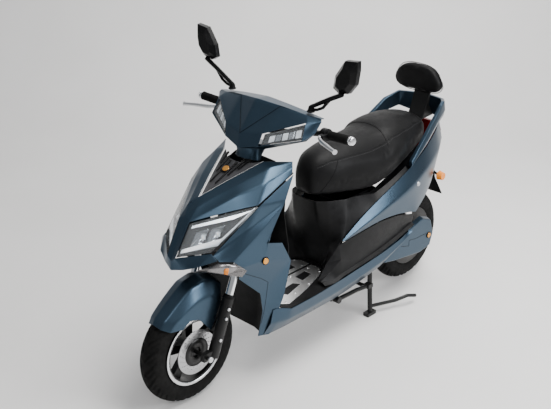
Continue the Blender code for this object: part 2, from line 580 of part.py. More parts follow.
panel_top = ((-0.022, 0.166, 0.462), (-0.140, 0.168, 0.528), (-0.250, 0.170, 0.572), (-0.380, 0.168, 0.618),
             (-0.450, 0.164, 0.640), (-0.600, 0.140, 0.690), (-0.730, 0.098, 0.730), (-0.800, 0.060, 0.745))
panel_mid = ((-0.024, 0.170, 0.458), (-0.142, 0.186, 0.498), (-0.252, 0.194, 0.528), (-0.382, 0.194, 0.556),
             (-0.452, 0.190, 0.570), (-0.602, 0.164, 0.610), (-0.735, 0.118, 0.640), (-0.812, 0.072, 0.660))
panel_low = ((-0.026, 0.167, 0.454), (-0.142, 0.176, 0.470), (-0.252, 0.182, 0.482), (-0.382, 0.180, 0.468),
             (-0.505, 0.170, 0.430), (-0.600, 0.150, 0.468), (-0.700, 0.112, 0.508), (-0.762, 0.075, 0.530))
side_points = [*panel_top, *panel_mid, *panel_low]
pair("side_panel", "body_paint", side_points, grid_faces(3, 8), (-0.4, 0.0, 0.55))
flank_points = []
for x, y_high, z_high, y_low, z_low in ((0.085, 0.134, 0.3125, 0.160, 0.3110), (0.030, 0.130, 0.366, 0.170, 0.307),
                                        (-0.020, 0.152, 0.438, 0.168, 0.318), (-0.140, 0.170, 0.460, 0.168, 0.326),
                                        (-0.255, 0.176, 0.470, 0.168, 0.338), (-0.380, 0.174, 0.456, 0.166, 0.358),
                                        (-0.495, 0.165, 0.422, 0.160, 0.382)):
    flank_points += [(x, y_high, z_high), (x, (y_high + y_low) / 2 + 0.003, (z_high + z_low) / 2), (x, y_low, z_low),
                     (x, y_low + 0.014, z_low - 0.008)]
pair("lower_flank", "black_plastic", flank_points, grid_faces(7, 4), (-0.3, 0.0, 0.36))

# Tail: grab rail round the back of the seat, light, indicators' bar and mudflap.
rail_half = [(-0.452, 0.166, 0.660), (-0.560, 0.160, 0.742), (-0.660, 0.142, 0.806), (-0.735, 0.118, 0.826),
             (-0.785, 0.080, 0.808), (-0.798, 0.000, 0.812)]
rail_rings = []
for index, (x, y, z) in enumerate(rail_half + [(x, -y, z) for x, y, z in reversed(rail_half[:-1])]):
    sign = 1.0 if index <= 5 else -1.0
    middle = index == 5
    thick = 0.010
    tall = (0.012, 0.027, 0.029, 0.033, 0.042, 0.040)[min(index, 10 - index)]
    out = Vector((0.0, sign, 0.0)) if min(index, 10 - index) < 3 else Vector((-0.7, 0.7 * sign, 0.0))
    if middle:
        out = Vector((-1.0, 0.0, 0.0))
    centre = Vector((x, y, z))
    rail_rings.append([centre + out * thick * a + Vector((0.0, 0.0, tall * b))
                       for a, b in ((-1, -1), (0.4, -1), (1, -0.2), (0.5, 1), (-1, 1))])
loft("grab_rail", "body_paint", rail_rings)
prism("tail_light", "lens_red", [(-0.806, -0.055, 0.735), (-0.828, -0.055, 0.690), (-0.818, -0.055, 0.580),
                                        (-0.794, -0.055, 0.580), (-0.790, -0.055, 0.735)], (0.0, 0.110, 0.0))
flap_grid = [(-0.775, 0.0, 0.562), (-0.775, 0.062, 0.562), (-0.800, 0.0, 0.470), (-0.800, 0.060, 0.470),
             (-0.838, 0.0, 0.385), (-0.838, 0.078, 0.385)]
flap = cage("rear_mudflap", "black_plastic", flap_grid, grid_faces(3, 2), (-0.5, 0.0, 0.4), mirror=True,
            thickness=0.004)
signal_bar = [Vector((-0.745, -0.112, 0.512)), Vector((-0.787, 0.0, 0.526)), Vector((-0.745, 0.112, 0.512))]
join(flap, [tube("rear_signal_bar", None, signal_bar, 0.0055, helper=True)])
for side, label in ((1.0, "left"), (-1.0, "right")):
    rod(f"rear_signal_{label}", "lens_amber", (-0.745, side * 0.1150, 0.512), (-0.745, side * 0.140, 0.512), 0.0210,
        end_radius=0.0165, sides=20)

# Seat: cushion on a hinged pan.
seat_sections = ((0.042, 0.034, 0.652, 0.705), (0.032, 0.058, 0.640, 0.745), (0.004, 0.080, 0.634, 0.776),
                 (-0.044, 0.102, 0.624, 0.792), (-0.140, 0.126, 0.610, 0.796), (-0.250, 0.144, 0.592, 0.798),
                 (-0.330, 0.150, 0.620, 0.804), (-0.380, 0.150, 0.636, 0.822), (-0.450, 0.148, 0.660, 0.830),
                 (-0.540, 0.136, 0.690, 0.828), (-0.620, 0.118, 0.715, 0.820), (-0.655, 0.090, 0.728, 0.808),
                 (-0.668, 0.050, 0.742, 0.788))
seat_rings = []
for x, half, low, high in seat_sections:
    deep = high - low
    ring = [(0.90, 0.0), (1.0, 0.12), (1.0, 0.55), (0.86, 0.86), (0.50, 0.985), (0.0, 1.0)]
    right = [(-w, h) for w, h in reversed(ring[:-1])]
    seat_rings.append([(x, half * w, low + deep * h) for w, h in ring + right])
loft("seat_cushion", "seat_leather", seat_rings)
# Backrest: a pad on a bracket behind the seat.
bracket_side = [(-0.690, 0.0, 0.762), (-0.775, 0.0, 0.766), (-0.772, 0.0, 0.776), (-0.742, 0.0, 0.820),
                (-0.760, 0.0, 0.925), (-0.7375, 0.0, 0.925), (-0.7375, 0.0, 0.870), (-0.722, 0.0, 0.820), (-0.700, 0.0, 0.772)]
bracket = prism("backrest_bracket", "black_metal", [(x, -0.040, z + 0.0045) for x, y, z in bracket_side],
                (0.0, 0.080, 0.0))
pad_half = [(0.000, 1.010), (0.050, 1.008), (0.092, 0.990), (0.127, 0.932), (0.112, 0.900), (0.060, 0.886), (0.0, 0.885)]
pad_outline = pad_half + [(-y, z) for y, z in reversed(pad_half[1:-1])]
pad_rings = []
for x, share in ((-0.7310, 0.92), (-0.7240, 1.0), (-0.7000, 1.0), (-0.6860, 0.86)):
    pad_rings.append([(x + 0.05 * (z - 0.95), y * share, 0.947 + (z - 0.947) * share) for y, z in pad_outline])
loft("backrest_pad", "seat_leather", pad_rings)

# Rear suspension, swingarm with its covers, and the two stands.
arm_y = 0.088
arms = []
for side, label in ((1.0, "left"), (-1.0, "right")):
    line = [SWINGARM_PIVOT + Vector((0.0, side * arm_y, 0.0)), Vector((-0.400, side * arm_y, 0.262)),
            REAR_AXLE + Vector((0.0, side * arm_y, 0.0))]
    arms.append(tube(f"arm_{label}", None, line, 0.0140, helper=True))
    arms.append(rod(f"drop_{label}", None, REAR_AXLE + Vector((0, side * 0.072, 0)),
                    REAR_AXLE + Vector((0, side * 0.106, 0)), 0.0230, helper=True))
arms.append(rod("arm_bridge", None, Vector((-0.400, -arm_y, 0.262)), Vector((-0.400, arm_y, 0.262)), 0.0110,
                helper=True))
arms.append(rod("arm_axle", None, REAR_AXLE + Vector((0, -0.100, 0)), REAR_AXLE + Vector((0, 0.100, 0)), 0.0092,
                helper=True))
swingarm = rod("swingarm", "black_metal", SWINGARM_PIVOT + Vector((0, -0.112, 0)),
               SWINGARM_PIVOT + Vector((0, 0.112, 0)), 0.0160)
cover_outline = [(-0.345, 0.222), (-0.345, 0.262), (-0.523, 0.327), (-0.626, 0.351), (-0.690, 0.324), (-0.716, 0.246),
                 (-0.697, 0.189), (-0.618, 0.177), (-0.425, 0.205)]
inner = [Vector((x, 0.1075, z)) for x, z in cover_outline]
middle = sum(inner, Vector()) / len(inner)
outer = [middle + (p - middle) * 0.94 + Vector((0.0, 0.024, 0.0)) for p in inner]
loft("swingarm_cover", "body_paint", [inner, outer])
low = Vector((-0.575, arm_y, 0.2400))
high = Vector((-0.548, arm_y, 0.5180))
along = (high - low).normalized()
shock = rod("rear_shock", "chrome", low + along * 0.110, high, 0.0195, sides=20)
cut(shock, [rod("shock_bore", None, low + along * 0.05, high - along * 0.022, 0.0170, sides=20,
               helper=True)])
arms.append(rod("shock_rod", None, low, low + along * 0.160, 0.0050, helper=True))

join(swingarm, arms)

stand_tools = []
for side, label in ((1.0, "left"), (-1.0, "right")):
    leg = [STAND_PIVOT + Vector((0.0, side * 0.098, 0.0)), Vector((-0.288, side * 0.108, 0.120)),
           Vector((-0.278, side * 0.122, 0.0160))]
    stand_tools.append(tube(f"stand_leg_{label}", None, leg, 0.0110, helper=True))
    stand_tools.append(box(f"stand_foot_{label}", None, (-0.304, side * 0.122 - 0.014, 0.0),
                           (-0.250, side * 0.122 + 0.014, 0.016), helper=True))
stand_tools.append(rod("stand_brace", None, Vector((-0.288, -0.108, 0.120)), Vector((-0.288, 0.108, 0.120)), 0.0090,
                       helper=True))
lever = [Vector((-0.280, 0.122, 0.040)), Vector((-0.400, 0.165, 0.036)), Vector((-0.455, 0.190, 0.048)),
         Vector((-0.500, 0.200, 0.034))]
stand_tools.append(tube("stand_lever", None, lever, 0.0080, helper=True))
stand = rod("centre_stand", "black_metal", STAND_PIVOT + Vector((0, -0.110, 0)), STAND_PIVOT + Vector((0, 0.110, 0)),
            0.0120)
join(stand, stand_tools)

side_line = [SIDE_STAND_PIVOT + Vector((0.010, 0.0, 0.0)), SIDE_STAND_PIVOT + Vector((-0.120, 0.004, -0.002)),
             SIDE_STAND_PIVOT + Vector((-0.180, 0.012, -0.004))]
side_stand = tube("side_stand", "black_metal", side_line, 0.0095)
side_tools = [rod("side_stand_boss", None, SIDE_STAND_PIVOT + Vector((0.0, -0.0130, 0.0)),
                  SIDE_STAND_PIVOT + Vector((0.0, 0.0130, 0.0)), 0.0140, helper=True),
              box("side_stand_pad", None, SIDE_STAND_PIVOT + Vector((-0.200, -0.002, -0.012)),
                  SIDE_STAND_PIVOT + Vector((-0.172, 0.026, 0.006)), helper=True)]
join(side_stand, side_tools)
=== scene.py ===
"""Looks for the electric moped scooter: finer panels, lamps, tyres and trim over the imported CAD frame."""
import math

import bmesh
import bpy
from mathutils import Matrix, Vector
from mathutils.bvhtree import BVHTree


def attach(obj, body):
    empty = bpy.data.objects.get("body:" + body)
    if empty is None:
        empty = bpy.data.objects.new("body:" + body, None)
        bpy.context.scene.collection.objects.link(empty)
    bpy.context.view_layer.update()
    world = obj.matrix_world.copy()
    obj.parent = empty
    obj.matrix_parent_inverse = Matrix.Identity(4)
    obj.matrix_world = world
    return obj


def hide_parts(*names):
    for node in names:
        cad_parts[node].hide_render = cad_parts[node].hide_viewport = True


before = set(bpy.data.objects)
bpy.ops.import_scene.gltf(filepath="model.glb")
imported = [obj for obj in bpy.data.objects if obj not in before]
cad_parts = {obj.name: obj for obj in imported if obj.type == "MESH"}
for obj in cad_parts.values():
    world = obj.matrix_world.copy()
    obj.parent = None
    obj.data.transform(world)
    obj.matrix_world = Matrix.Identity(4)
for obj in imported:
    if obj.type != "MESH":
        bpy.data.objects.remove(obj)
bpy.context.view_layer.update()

FRONT_AXLE = Vector((0.655, 0.0, 0.21))
REAR_AXLE = Vector((-0.66, 0.0, 0.22))
RAKE = math.radians(22.1)
STEER_UP = Vector((-math.sin(RAKE), 0.0, math.cos(RAKE)))
STEER_FOOT = Vector((0.59, 0.0, 0.22))
LEG_FOOT = Vector((0.61, 0.0, 0.22))
LEG_SPREAD = 0.098
GRIP_IN = Vector((0.19, 0.235, 0.98))
BAR_END = Vector((0.206, 0.377, 0.992))
SIDES = ((1.0, "left"), (-1.0, "right"))
ROTOR_CENTRE = FRONT_AXLE + Vector((0.0, 0.0485, 0.0))
HOLE_RADIUS = 0.0026
TREAD_HEIGHT = 0.2992
VIEW_YAW = math.radians(223.7)
VIEW_PITCH = math.radians(24.0)


# ---------------------------------------------------------------- materials
class Recipe:
    """A procedural material: nodes are added by short calls and linked to the shader."""

    def __init__(self, name, colour, roughness, metallic=0.0, **sockets):
        self.material = bpy.data.materials.new(name)
        self.material.use_nodes = True
        self.tree = self.material.node_tree
        self.shader = self.tree.nodes["Principled BSDF"]
        self.shader.inputs["Base Color"].default_value = (*colour, 1.0)
        self.shader.inputs["Roughness"].default_value = roughness
        self.shader.inputs["Metallic"].default_value = metallic
        for socket, value in sockets.items():
            self.shader.inputs[socket.replace("_", " ")].default_value = value
        self.place = self.tree.nodes.new("ShaderNodeTexCoord").outputs["Object"]
        self.last_normal = None

    def noise(self, scale, detail=4.0, stretch=(1.0, 1.0, 1.0)):
        spread = self.tree.nodes.new("ShaderNodeMapping")
        spread.inputs["Scale"].default_value = stretch
        self.tree.links.new(self.place, spread.inputs["Vector"])
        made = self.tree.nodes.new("ShaderNodeTexNoise")
        made.inputs["Scale"].default_value = scale
        made.inputs["Detail"].default_value = detail
        self.tree.links.new(spread.outputs["Vector"], made.inputs["Vector"])
        return made.outputs["Fac"]

    def cells(self, scale, feature="F1"):
        made = self.tree.nodes.new("ShaderNodeTexVoronoi")
        made.feature = feature
        made.inputs["Scale"].default_value = scale
        self.tree.links.new(self.place, made.inputs["Vector"])
        return made.outputs["Distance"]

    def ramp(self, source, low, high, at=(0.3, 0.7)):
        made = self.tree.nodes.new("ShaderNodeValToRGB")
        for point, value, where in zip(made.color_ramp.elements, (low, high), at):
            point.position = where
            point.color = (*value, 1.0) if isinstance(value, tuple) else (value, value, value, 1.0)
        self.tree.links.new(source, made.inputs["Fac"])
        return made.outputs["Color"]

    def colour(self, source):
        self.tree.links.new(source, self.shader.inputs["Base Color"])
        return self

    def roughness(self, source):
        self.tree.links.new(source, self.shader.inputs["Roughness"])
        return self

    def uneven(self, scale, low, high):
        """Roughness that wanders between low and high."""
        return self.roughness(self.ramp(self.noise(scale), low, high))

    def bump(self, source, strength, distance=0.001):
        made = self.tree.nodes.new("ShaderNodeBump")
        made.inputs["Strength"].default_value = strength
        made.inputs["Distance"].default_value = distance
        self.tree.links.new(source, made.inputs["Height"])
        if self.last_normal:
            self.tree.links.new(self.last_normal, made.inputs["Normal"])
        self.last_normal = made.outputs["Normal"]
        self.tree.links.new(self.last_normal, self.shader.inputs["Normal"])
        return self


def paint():
    """Satin metallic steel blue: fine flake, slight cloudiness and an even soft coat."""
    r = Recipe("paint_blue", (0.032, 0.058, 0.088), 0.3, 0.88, Coat_Weight=0.1, Coat_Roughness=0.3)
    r.colour(r.ramp(r.noise(1400.0, 2.0), (0.025, 0.047, 0.073), (0.046, 0.078, 0.112)))
    r.uneven(9.0, 0.27, 0.34)
    return r.bump(r.noise(1800.0, 2.0), 0.05, 0.0004).material


def black_plastic(name="plastic_black", low=0.003, high=0.007, rough=0.42, grain=900.0):
    r = Recipe(name, (high, high, high * 1.05), rough, Specular_IOR_Level=0.15)
    r.colour(r.ramp(r.noise(30.0), (low, low, low * 1.08), (high, high, high * 1.08)))
    r.uneven(60.0, rough - 0.06, rough + 0.1)
    return r.bump(r.cells(grain), 0.22, 0.0004).material


def leather():
    r = Recipe("leather_black", (0.006, 0.006, 0.0065), 0.5, Specular_IOR_Level=0.12)
    r.colour(r.ramp(r.noise(14.0), (0.003, 0.003, 0.0032), (0.0058, 0.0058, 0.0062)))
    r.uneven(45.0, 0.42, 0.56)
    r.bump(r.cells(620.0, "DISTANCE_TO_EDGE"), 0.3, 0.0005)
    return r.bump(r.noise(170.0), 0.08, 0.0006).material


def rubber(name="rubber_tyre", high=0.013):
    r = Recipe(name, (high, high, high), 0.72, Specular_IOR_Level=0.12)
    r.colour(r.ramp(r.noise(22.0), (0.003, 0.003, 0.003), (high * 0.6, high * 0.58, high * 0.56)))
    r.uneven(80.0, 0.66, 0.88)
    return r.bump(r.noise(700.0), 0.18, 0.0004).material


def metal(name, colour, rough, brushed=(1.0, 1.0, 1.0), spread=0.08):
    r = Recipe(name, colour, rough, 1.0)
    r.roughness(r.ramp(r.noise(240.0, 3.0, brushed), max(rough - spread / 2, 0.02), rough + spread))
    return r.bump(r.noise(500.0, 2.0, brushed), 0.05, 0.0002).material


def coated(name, value, rough):
    """Powder-coated steel or cast metal."""
    r = Recipe(name, (value, value, value), rough, 0.1, Specular_IOR_Level=0.34)
    r.uneven(120.0, rough - 0.06, rough + 0.1)
    return r.bump(r.noise(900.0, 2.0), 0.14, 0.0004).material


def clear(name="lens_glass", colour=(0.93, 0.96, 0.98), rough=0.02):
    r = Recipe(name, colour, rough, 0.0, Transmission_Weight=0.96, IOR=1.3)
    return r.bump(r.noise(8.0), 0.02, 0.0004).material


def plain(name, colour, rough, metallic=0.0, glow=0.0):
    r = Recipe(name, colour, rough, metallic)
    if glow:
        r.shader.inputs["Emission Color"].default_value = (*colour, 1.0)
        r.shader.inputs["Emission Strength"].default_value = glow
    r.uneven(150.0, rough * 0.85, min(rough * 1.2, 1.0))
    return r.material


M = {
    "paint": paint(),
    "plastic": black_plastic(),
    "gloss_black": black_plastic("plastic_gloss", 0.002, 0.004, 0.18, 2000.0),
    "panel_black": black_plastic("plastic_panel", 0.0035, 0.008, 0.4, 700.0),
    "grille": black_plastic("plastic_grille", 0.034, 0.05, 0.44, 1100.0),
    "leather": leather(),
    "tyre": rubber(),
    "grip": rubber("rubber_grip", 0.01),
    "chrome": metal("metal_chrome", (0.86, 0.87, 0.88), 0.07, spread=0.05),
    "machined": metal("metal_machined", (0.78, 0.79, 0.8), 0.24, (1.0, 6.0, 1.0)),
    "alloy": metal("metal_alloy", (0.62, 0.63, 0.64), 0.3),
    "disc": metal("metal_disc", (0.46, 0.46, 0.47), 0.3, (1.0, 12.0, 1.0)),
    "plate": metal("metal_plate", (0.9, 0.9, 0.9), 0.34),
    "black_metal": coated("metal_black", 0.005, 0.38),
    "wheel_black": coated("metal_wheel", 0.004, 0.32),
    "lens": clear(),
    "housing": plain("lamp_housing", (0.055, 0.058, 0.062), 0.3, 0.6),
    "reflector": plain("lamp_reflector", (0.72, 0.74, 0.76), 0.14, 1.0),
    "tub_grey": plain("lamp_tub", (0.26, 0.25, 0.25), 0.24, 0.8),
    "light_guide": plain("lamp_guide", (0.86, 0.89, 0.92), 0.22, 0.0, 0.35),
    "amber": plain("lens_amber_mat", (0.8, 0.24, 0.02), 0.2, 0.0, 0.05),
    "red": plain("lens_red_mat", (0.16, 0.006, 0.006), 0.12),
    "badge": plain("badge_gold", (0.7, 0.32, 0.07), 0.28, 0.9),
    "mirror": metal("mirror_glass", (0.9, 0.92, 0.94), 0.02, spread=0.02),
    "thread": plain("thread_grey", (0.03, 0.03, 0.032), 0.7),
    "screen": plain("dash_screen", (0.012, 0.016, 0.022), 0.08),
}


# ---------------------------------------------------------------- building
def linked(piece):
    if piece.name not in bpy.context.scene.collection.objects:
        bpy.context.scene.collection.objects.link(piece)
    return piece


def as_drawn(piece):
    """The linked piece as its modifiers leave it."""
    linked(piece)
    bpy.context.view_layer.update()
    return piece.evaluated_get(bpy.context.evaluated_depsgraph_get())


def even_shading(piece, weight=50):
    even = piece.modifiers.new("even", "WEIGHTED_NORMAL")
    even.keep_sharp = False
    even.weight = weight


def subdivided(piece, levels):
    fine = piece.modifiers.new("fine", "SUBSURF")
    fine.levels = levels
    fine.render_levels = levels
    return fine


def add(piece, body, nodes=(), material=None):
    """Links a piece, gives it its material and its body, and hides the CAD nodes it stands for."""
    linked(piece)
    if material:
        piece.data.materials.clear()
        piece.data.materials.append(M[material])
    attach(piece, body)
    if nodes:
        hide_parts(*nodes)
    return piece


def finish_mesh(shape, name, smooth=True):
    data = bpy.data.meshes.new(name)
    shape.to_mesh(data)
    shape.free()
    if smooth:
        data.shade_smooth()
    return bpy.data.objects.new(name, data)


def solid(name, points, faces, inside=None, smooth=True):
    """A mesh from points, facing outwards, or away from the point inside where it is open."""
    shape = bmesh.new()
    verts = [shape.verts.new(point) for point in points]
    for face in faces:
        shape.faces.new([verts[i] for i in face])
    bmesh.ops.recalc_face_normals(shape, faces=shape.faces[:])
    if inside is not None:
        shape.normal_update()
        centre = Vector(inside)
        if sum(f.normal.dot(f.calc_center_median() - centre) * f.calc_area() for f in shape.faces) < 0.0:
            bmesh.ops.reverse_faces(shape, faces=shape.faces[:])
    return finish_mesh(shape, name, smooth)


def grid_faces(rows, columns, wrap=False):
    found = []
    for r in range(rows - 1):
        for c in range(columns if wrap else columns - 1):
            a = r * columns + c
            b = r * columns + (c + 1) % columns
            found.append((a, b, b + columns, a + columns))
    return found


def mirrored(points, faces):
    """The half shape and its mirror image over the centre plane, joined where it touches the plane."""
    points = [Vector(p) for p in points]
    twin = {}
    whole = list(points)
    for i, p in enumerate(points):
        if abs(p.y) < 0.0001:
            twin[i] = i
        else:
            twin[i] = len(whole)
            whole.append(Vector((p.x, -p.y, p.z)))
    return whole, list(faces) + [tuple(twin[i] for i in reversed(face)) for face in faces]


def bevelled(piece, width, segments=2, angle=35.0):
    edge = piece.modifiers.new("edge", "BEVEL")
    edge.width = width
    edge.segments = segments
    edge.limit_method = "ANGLE"
    edge.angle_limit = math.radians(angle)
    edge.harden_normals = False
    piece.data.shade_smooth()
    even_shading(piece, 80)
    return piece


def skin(name, points, faces, inside, both=False, inner=0.9, rim=24.0, levels=3, wall=0.003, start=2.0,
         spread=10.0):
    """A moulded panel: a creased subdivision surface with a wall behind it and rounded edges."""
    if both:
        points, faces = mirrored(points, faces)
    piece = solid(name, points, faces, inside)
    data = piece.data
    shape = bmesh.new()
    shape.from_mesh(data)
    layer = shape.edges.layers.float.new("crease_edge")
    corner = shape.verts.layers.float.new("crease_vert")
    for edge in shape.edges:
        if len(edge.link_faces) < 2:
            edge[layer] = 1.0
        else:
            bend = math.degrees(edge.calc_face_angle(0.0))
            edge[layer] = max(0.0, min(1.0, (bend - start) / spread)) * inner
    for vert in shape.verts:
        open_ends = [e.other_vert(vert).co - vert.co for e in vert.link_edges if len(e.link_faces) < 2]
        if len(open_ends) == 2 and math.degrees(open_ends[0].angle(open_ends[1])) < 180.0 - rim:
            vert[corner] = 1.0
        elif len(open_ends) > 2:
            vert[corner] = 1.0
    shape.to_mesh(data)
    shape.free()
    data.shade_smooth()
    subdivided(piece, levels).boundary_smooth = "PRESERVE_CORNERS"
    thick = piece.modifiers.new("wall", "SOLIDIFY")
    thick.thickness = wall
    thick.offset = -1.0
    edge = piece.modifiers.new("edge", "BEVEL")
    edge.width = 0.0009
    edge.segments = 2
    edge.limit_method = "ANGLE"
    edge.angle_limit = math.radians(60.0)
    even_shading(piece)
    return piece


def loft(name, rings, smooth=True):
    count = len(rings[0])
    points = [point for ring in rings for point in ring]
    faces = grid_faces(len(rings), count, wrap=True)
    faces.append(tuple(range(count)))
    faces.append(tuple(range((len(rings) - 1) * count, len(rings) * count)))
    return solid(name, points, faces, None, smooth)


def prism(name, outline, shift, bevel=0.0):
    near = [Vector(point) for point in outline]
    piece = loft(name, [near, [point + Vector(shift) for point in near]])
    return bevelled(piece, bevel, 2) if bevel else piece


def rod(name, start, end, profile, sides=24):
    """A turned bar: profile is (share of the way, radius) pairs."""
    start, end = Vector(start), Vector(end)
    along = (end - start).normalized()
    across = along.orthogonal().normalized()
    other = along.cross(across)
    rings = []
    for share, radius in profile:
        turns = [2.0 * math.pi * i / sides for i in range(sides)]
        centre = start + (end - start) * share
        rings.append([centre + radius * (math.cos(t) * across + math.sin(t) * other) for t in turns])
    piece = loft(name, rings)
    return bevelled(piece, min(r for _, r in profile) * 0.15 + 0.0002, 2, 40.0)


def tube(name, points, radius, resolution=3):
    line = bpy.data.curves.new(name, "CURVE")
    line.dimensions = "3D"
    line.bevel_depth = radius
    line.bevel_resolution = resolution
    line.use_fill_caps = True
    spline = line.splines.new("POLY")
    spline.points.add(len(points) - 1)
    for target, point in zip(spline.points, points):
        target.co = (*point, 1.0)
    spline.use_smooth = True
    return bpy.data.objects.new(name, line)


def strand(name, points, radius, body, material, resolution=3):
    """A tube that is added as it is."""
    return add(tube(name, points, radius, resolution), body, material=material)


def turned(name, profile, centre, steps=96, closed=True):
    """A profile of (radius, height) turned about the Y axis through the centre."""
    count = len(profile)
    points = []
    for i in range(steps):
        turn = 2.0 * math.pi * i / steps
        for radius, height in profile:
            points.append(centre + Vector((radius * math.cos(turn), height, radius * math.sin(turn))))
    faces = []
    for i in range(steps):
        j = (i + 1) % steps
        for c in range(count if closed else count - 1):
            d = (c + 1) % count
            faces.append((i * count + c, i * count + d, j * count + d, j * count + c))
    return solid(name, points, faces)


def side_of(points, side):
    return [Vector((p[0], side * p[1], p[2])) for p in points]


def on_steer(height, forward=0.0, side=0.0):
    along = (height - STEER_FOOT.z) / STEER_UP.z
    square = Vector((math.cos(RAKE), 0.0, math.sin(RAKE)))
    return STEER_FOOT + along * STEER_UP + forward * square + Vector((0.0, side, 0.0))


def on_leg(height, side):
    along = (height - LEG_FOOT.z) / STEER_UP.z
    return LEG_FOOT + along * STEER_UP + Vector((0.0, side, 0.0))


def along_bar(share, side):
    found = GRIP_IN + (BAR_END - GRIP_IN) * share
    return Vector((found.x, found.y * side, found.z))


def lever_line(side):
    """The brake blade's middle line, from its pin out to the ball at the end."""
    pin = along_bar(0.17, side) + Vector((0.045, 0.0, -0.002))
    knee = pin + Vector((0.02, side * 0.03, -0.002))
    tip = Vector((0.298, side * 0.382, 0.978))
    return [pin, knee, knee + (tip - knee) * 0.45 + Vector((0.002, 0.0, 0.002)), knee + (tip - knee) * 0.9,
            tip]


def keep(node, material, bevel=0.0, angle=30.0):
    """A CAD node that stays, with a better material and rounded edges."""
    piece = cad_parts[node]
    piece.data.materials.clear()
    piece.data.materials.append(M[material])
    if bevel:
        weld = piece.modifiers.new("weld", "WELD")
        weld.merge_threshold = 0.00002
        bevelled(piece, bevel, 3, angle)


def settled(piece):
    """Turns the piece's modifiers into plain mesh."""
    fixed = bpy.data.meshes.new_from_object(as_drawn(piece))
    piece.modifiers.clear()
    piece.data = fixed
    piece.data.shade_smooth()
    return piece


def plumped(piece, voxel, cap, pressure=4.0, shrink=0.0025):
    """Fills the cover with padding: a short cloth simulation under pressure, held within the cap."""
    settled(piece)
    grain = piece.modifiers.new("grain", "REMESH")
    grain.mode = "VOXEL"
    grain.voxel_size = voxel
    settled(piece)
    data = piece.data
    for vert, normal in zip(data.vertices, [v.normal.copy() for v in data.vertices]):
        vert.co -= normal * shrink
    start = [v.co.copy() for v in data.vertices]
    cloth = piece.modifiers.new("cloth", "CLOTH")
    cloth.settings.quality = 4
    cloth.settings.use_pressure = True
    cloth.settings.uniform_pressure_force = pressure
    cloth.settings.effector_weights.gravity = 0.0
    cloth.collision_settings.use_collision = False
    scene = bpy.context.scene
    for step in range(1, 21):
        scene.frame_set(step)
    moved = bpy.data.meshes.new_from_object(as_drawn(piece))
    ends = [v.co.copy() for v in moved.vertices]
    piece.modifiers.clear()
    scene.frame_set(1)
    for vert, old, new in zip(data.vertices, start, ends):
        step = new - old
        vert.co = old + (step if step.length < cap else step * (cap / step.length))
    bpy.data.meshes.remove(moved)
    ease = piece.modifiers.new("ease", "SMOOTH")
    ease.factor = 0.5
    ease.iterations = 4
    subdivided(piece, 1)
    return settled(piece)


def surface_of(piece):
    """A search tree of the piece as it is drawn."""
    shape = as_drawn(piece).to_mesh()
    return BVHTree.FromPolygons([v.co.copy() for v in shape.vertices],
                                [tuple(p.vertices) for p in shape.polygons])


def traced(tree, route, aim, lift=0.0002, step=0.006):
    """Points on a surface where a route, given as points outside it, lands when cast along the aim."""
    aim = Vector(aim).normalized()
    found = []
    for start, end in zip(route, route[1:]):
        start, end = Vector(start), Vector(end)
        count = max(1, round((end - start).length / step))
        for i in range(count + 1):
            place, normal, _, _ = tree.ray_cast(start + (end - start) * (i / count), aim)
            if place is not None:
                found.append(place - aim * lift)
    return found


def stitches(name, path, size, body, material, length=0.0055, gap=0.0035):
    """Separate stitches along a path, as one object."""
    line = bpy.data.curves.new(name, "CURVE")
    line.dimensions = "3D"
    line.bevel_depth = size
    line.bevel_resolution = 1
    line.use_fill_caps = True
    walked, due, on = 0.0, 0.0, None
    for a, b in zip(path, path[1:]):
        reach = (b - a).length
        if reach < 0.0001 or reach > 0.03:
            continue
        while due < walked + reach:
            spot = a + (b - a) * ((due - walked) / reach)
            if on is None:
                on, due = spot, due + length
            else:
                spline = line.splines.new("POLY")
                spline.points.add(1)
                spline.points[0].co = (*on, 1.0)
                spline.points[1].co = (*spot, 1.0)
                on, due = None, due + gap
        walked += reach
    return add(bpy.data.objects.new(name, line), body, material=material)


def disc(name, centre, normal, radius, thick, body, material, dome=0.25):
    normal = Vector(normal).normalized()
    centre = Vector(centre)
    profile = [(0.0, radius), (0.6, radius), (0.9, radius * 0.92), (1.0, radius * (1.0 - dome))]
    return add(rod(name, centre, centre + normal * thick, profile, 24), body, material=material)


def ring(name, centre, normal, radius, wire, body, slot, material):
    normal = Vector(normal).normalized()
    across = normal.orthogonal().normalized()
    other = normal.cross(across)
    loop = [Vector(centre) + radius * (math.cos(t) * across + math.sin(t) * other)
            for t in (2.0 * math.pi * i / 40 for i in range(40))]
    piece = tube(name, loop, wire, 2)
    piece.data.splines[0].use_cyclic_u = True
    return add(piece, body, material=material)


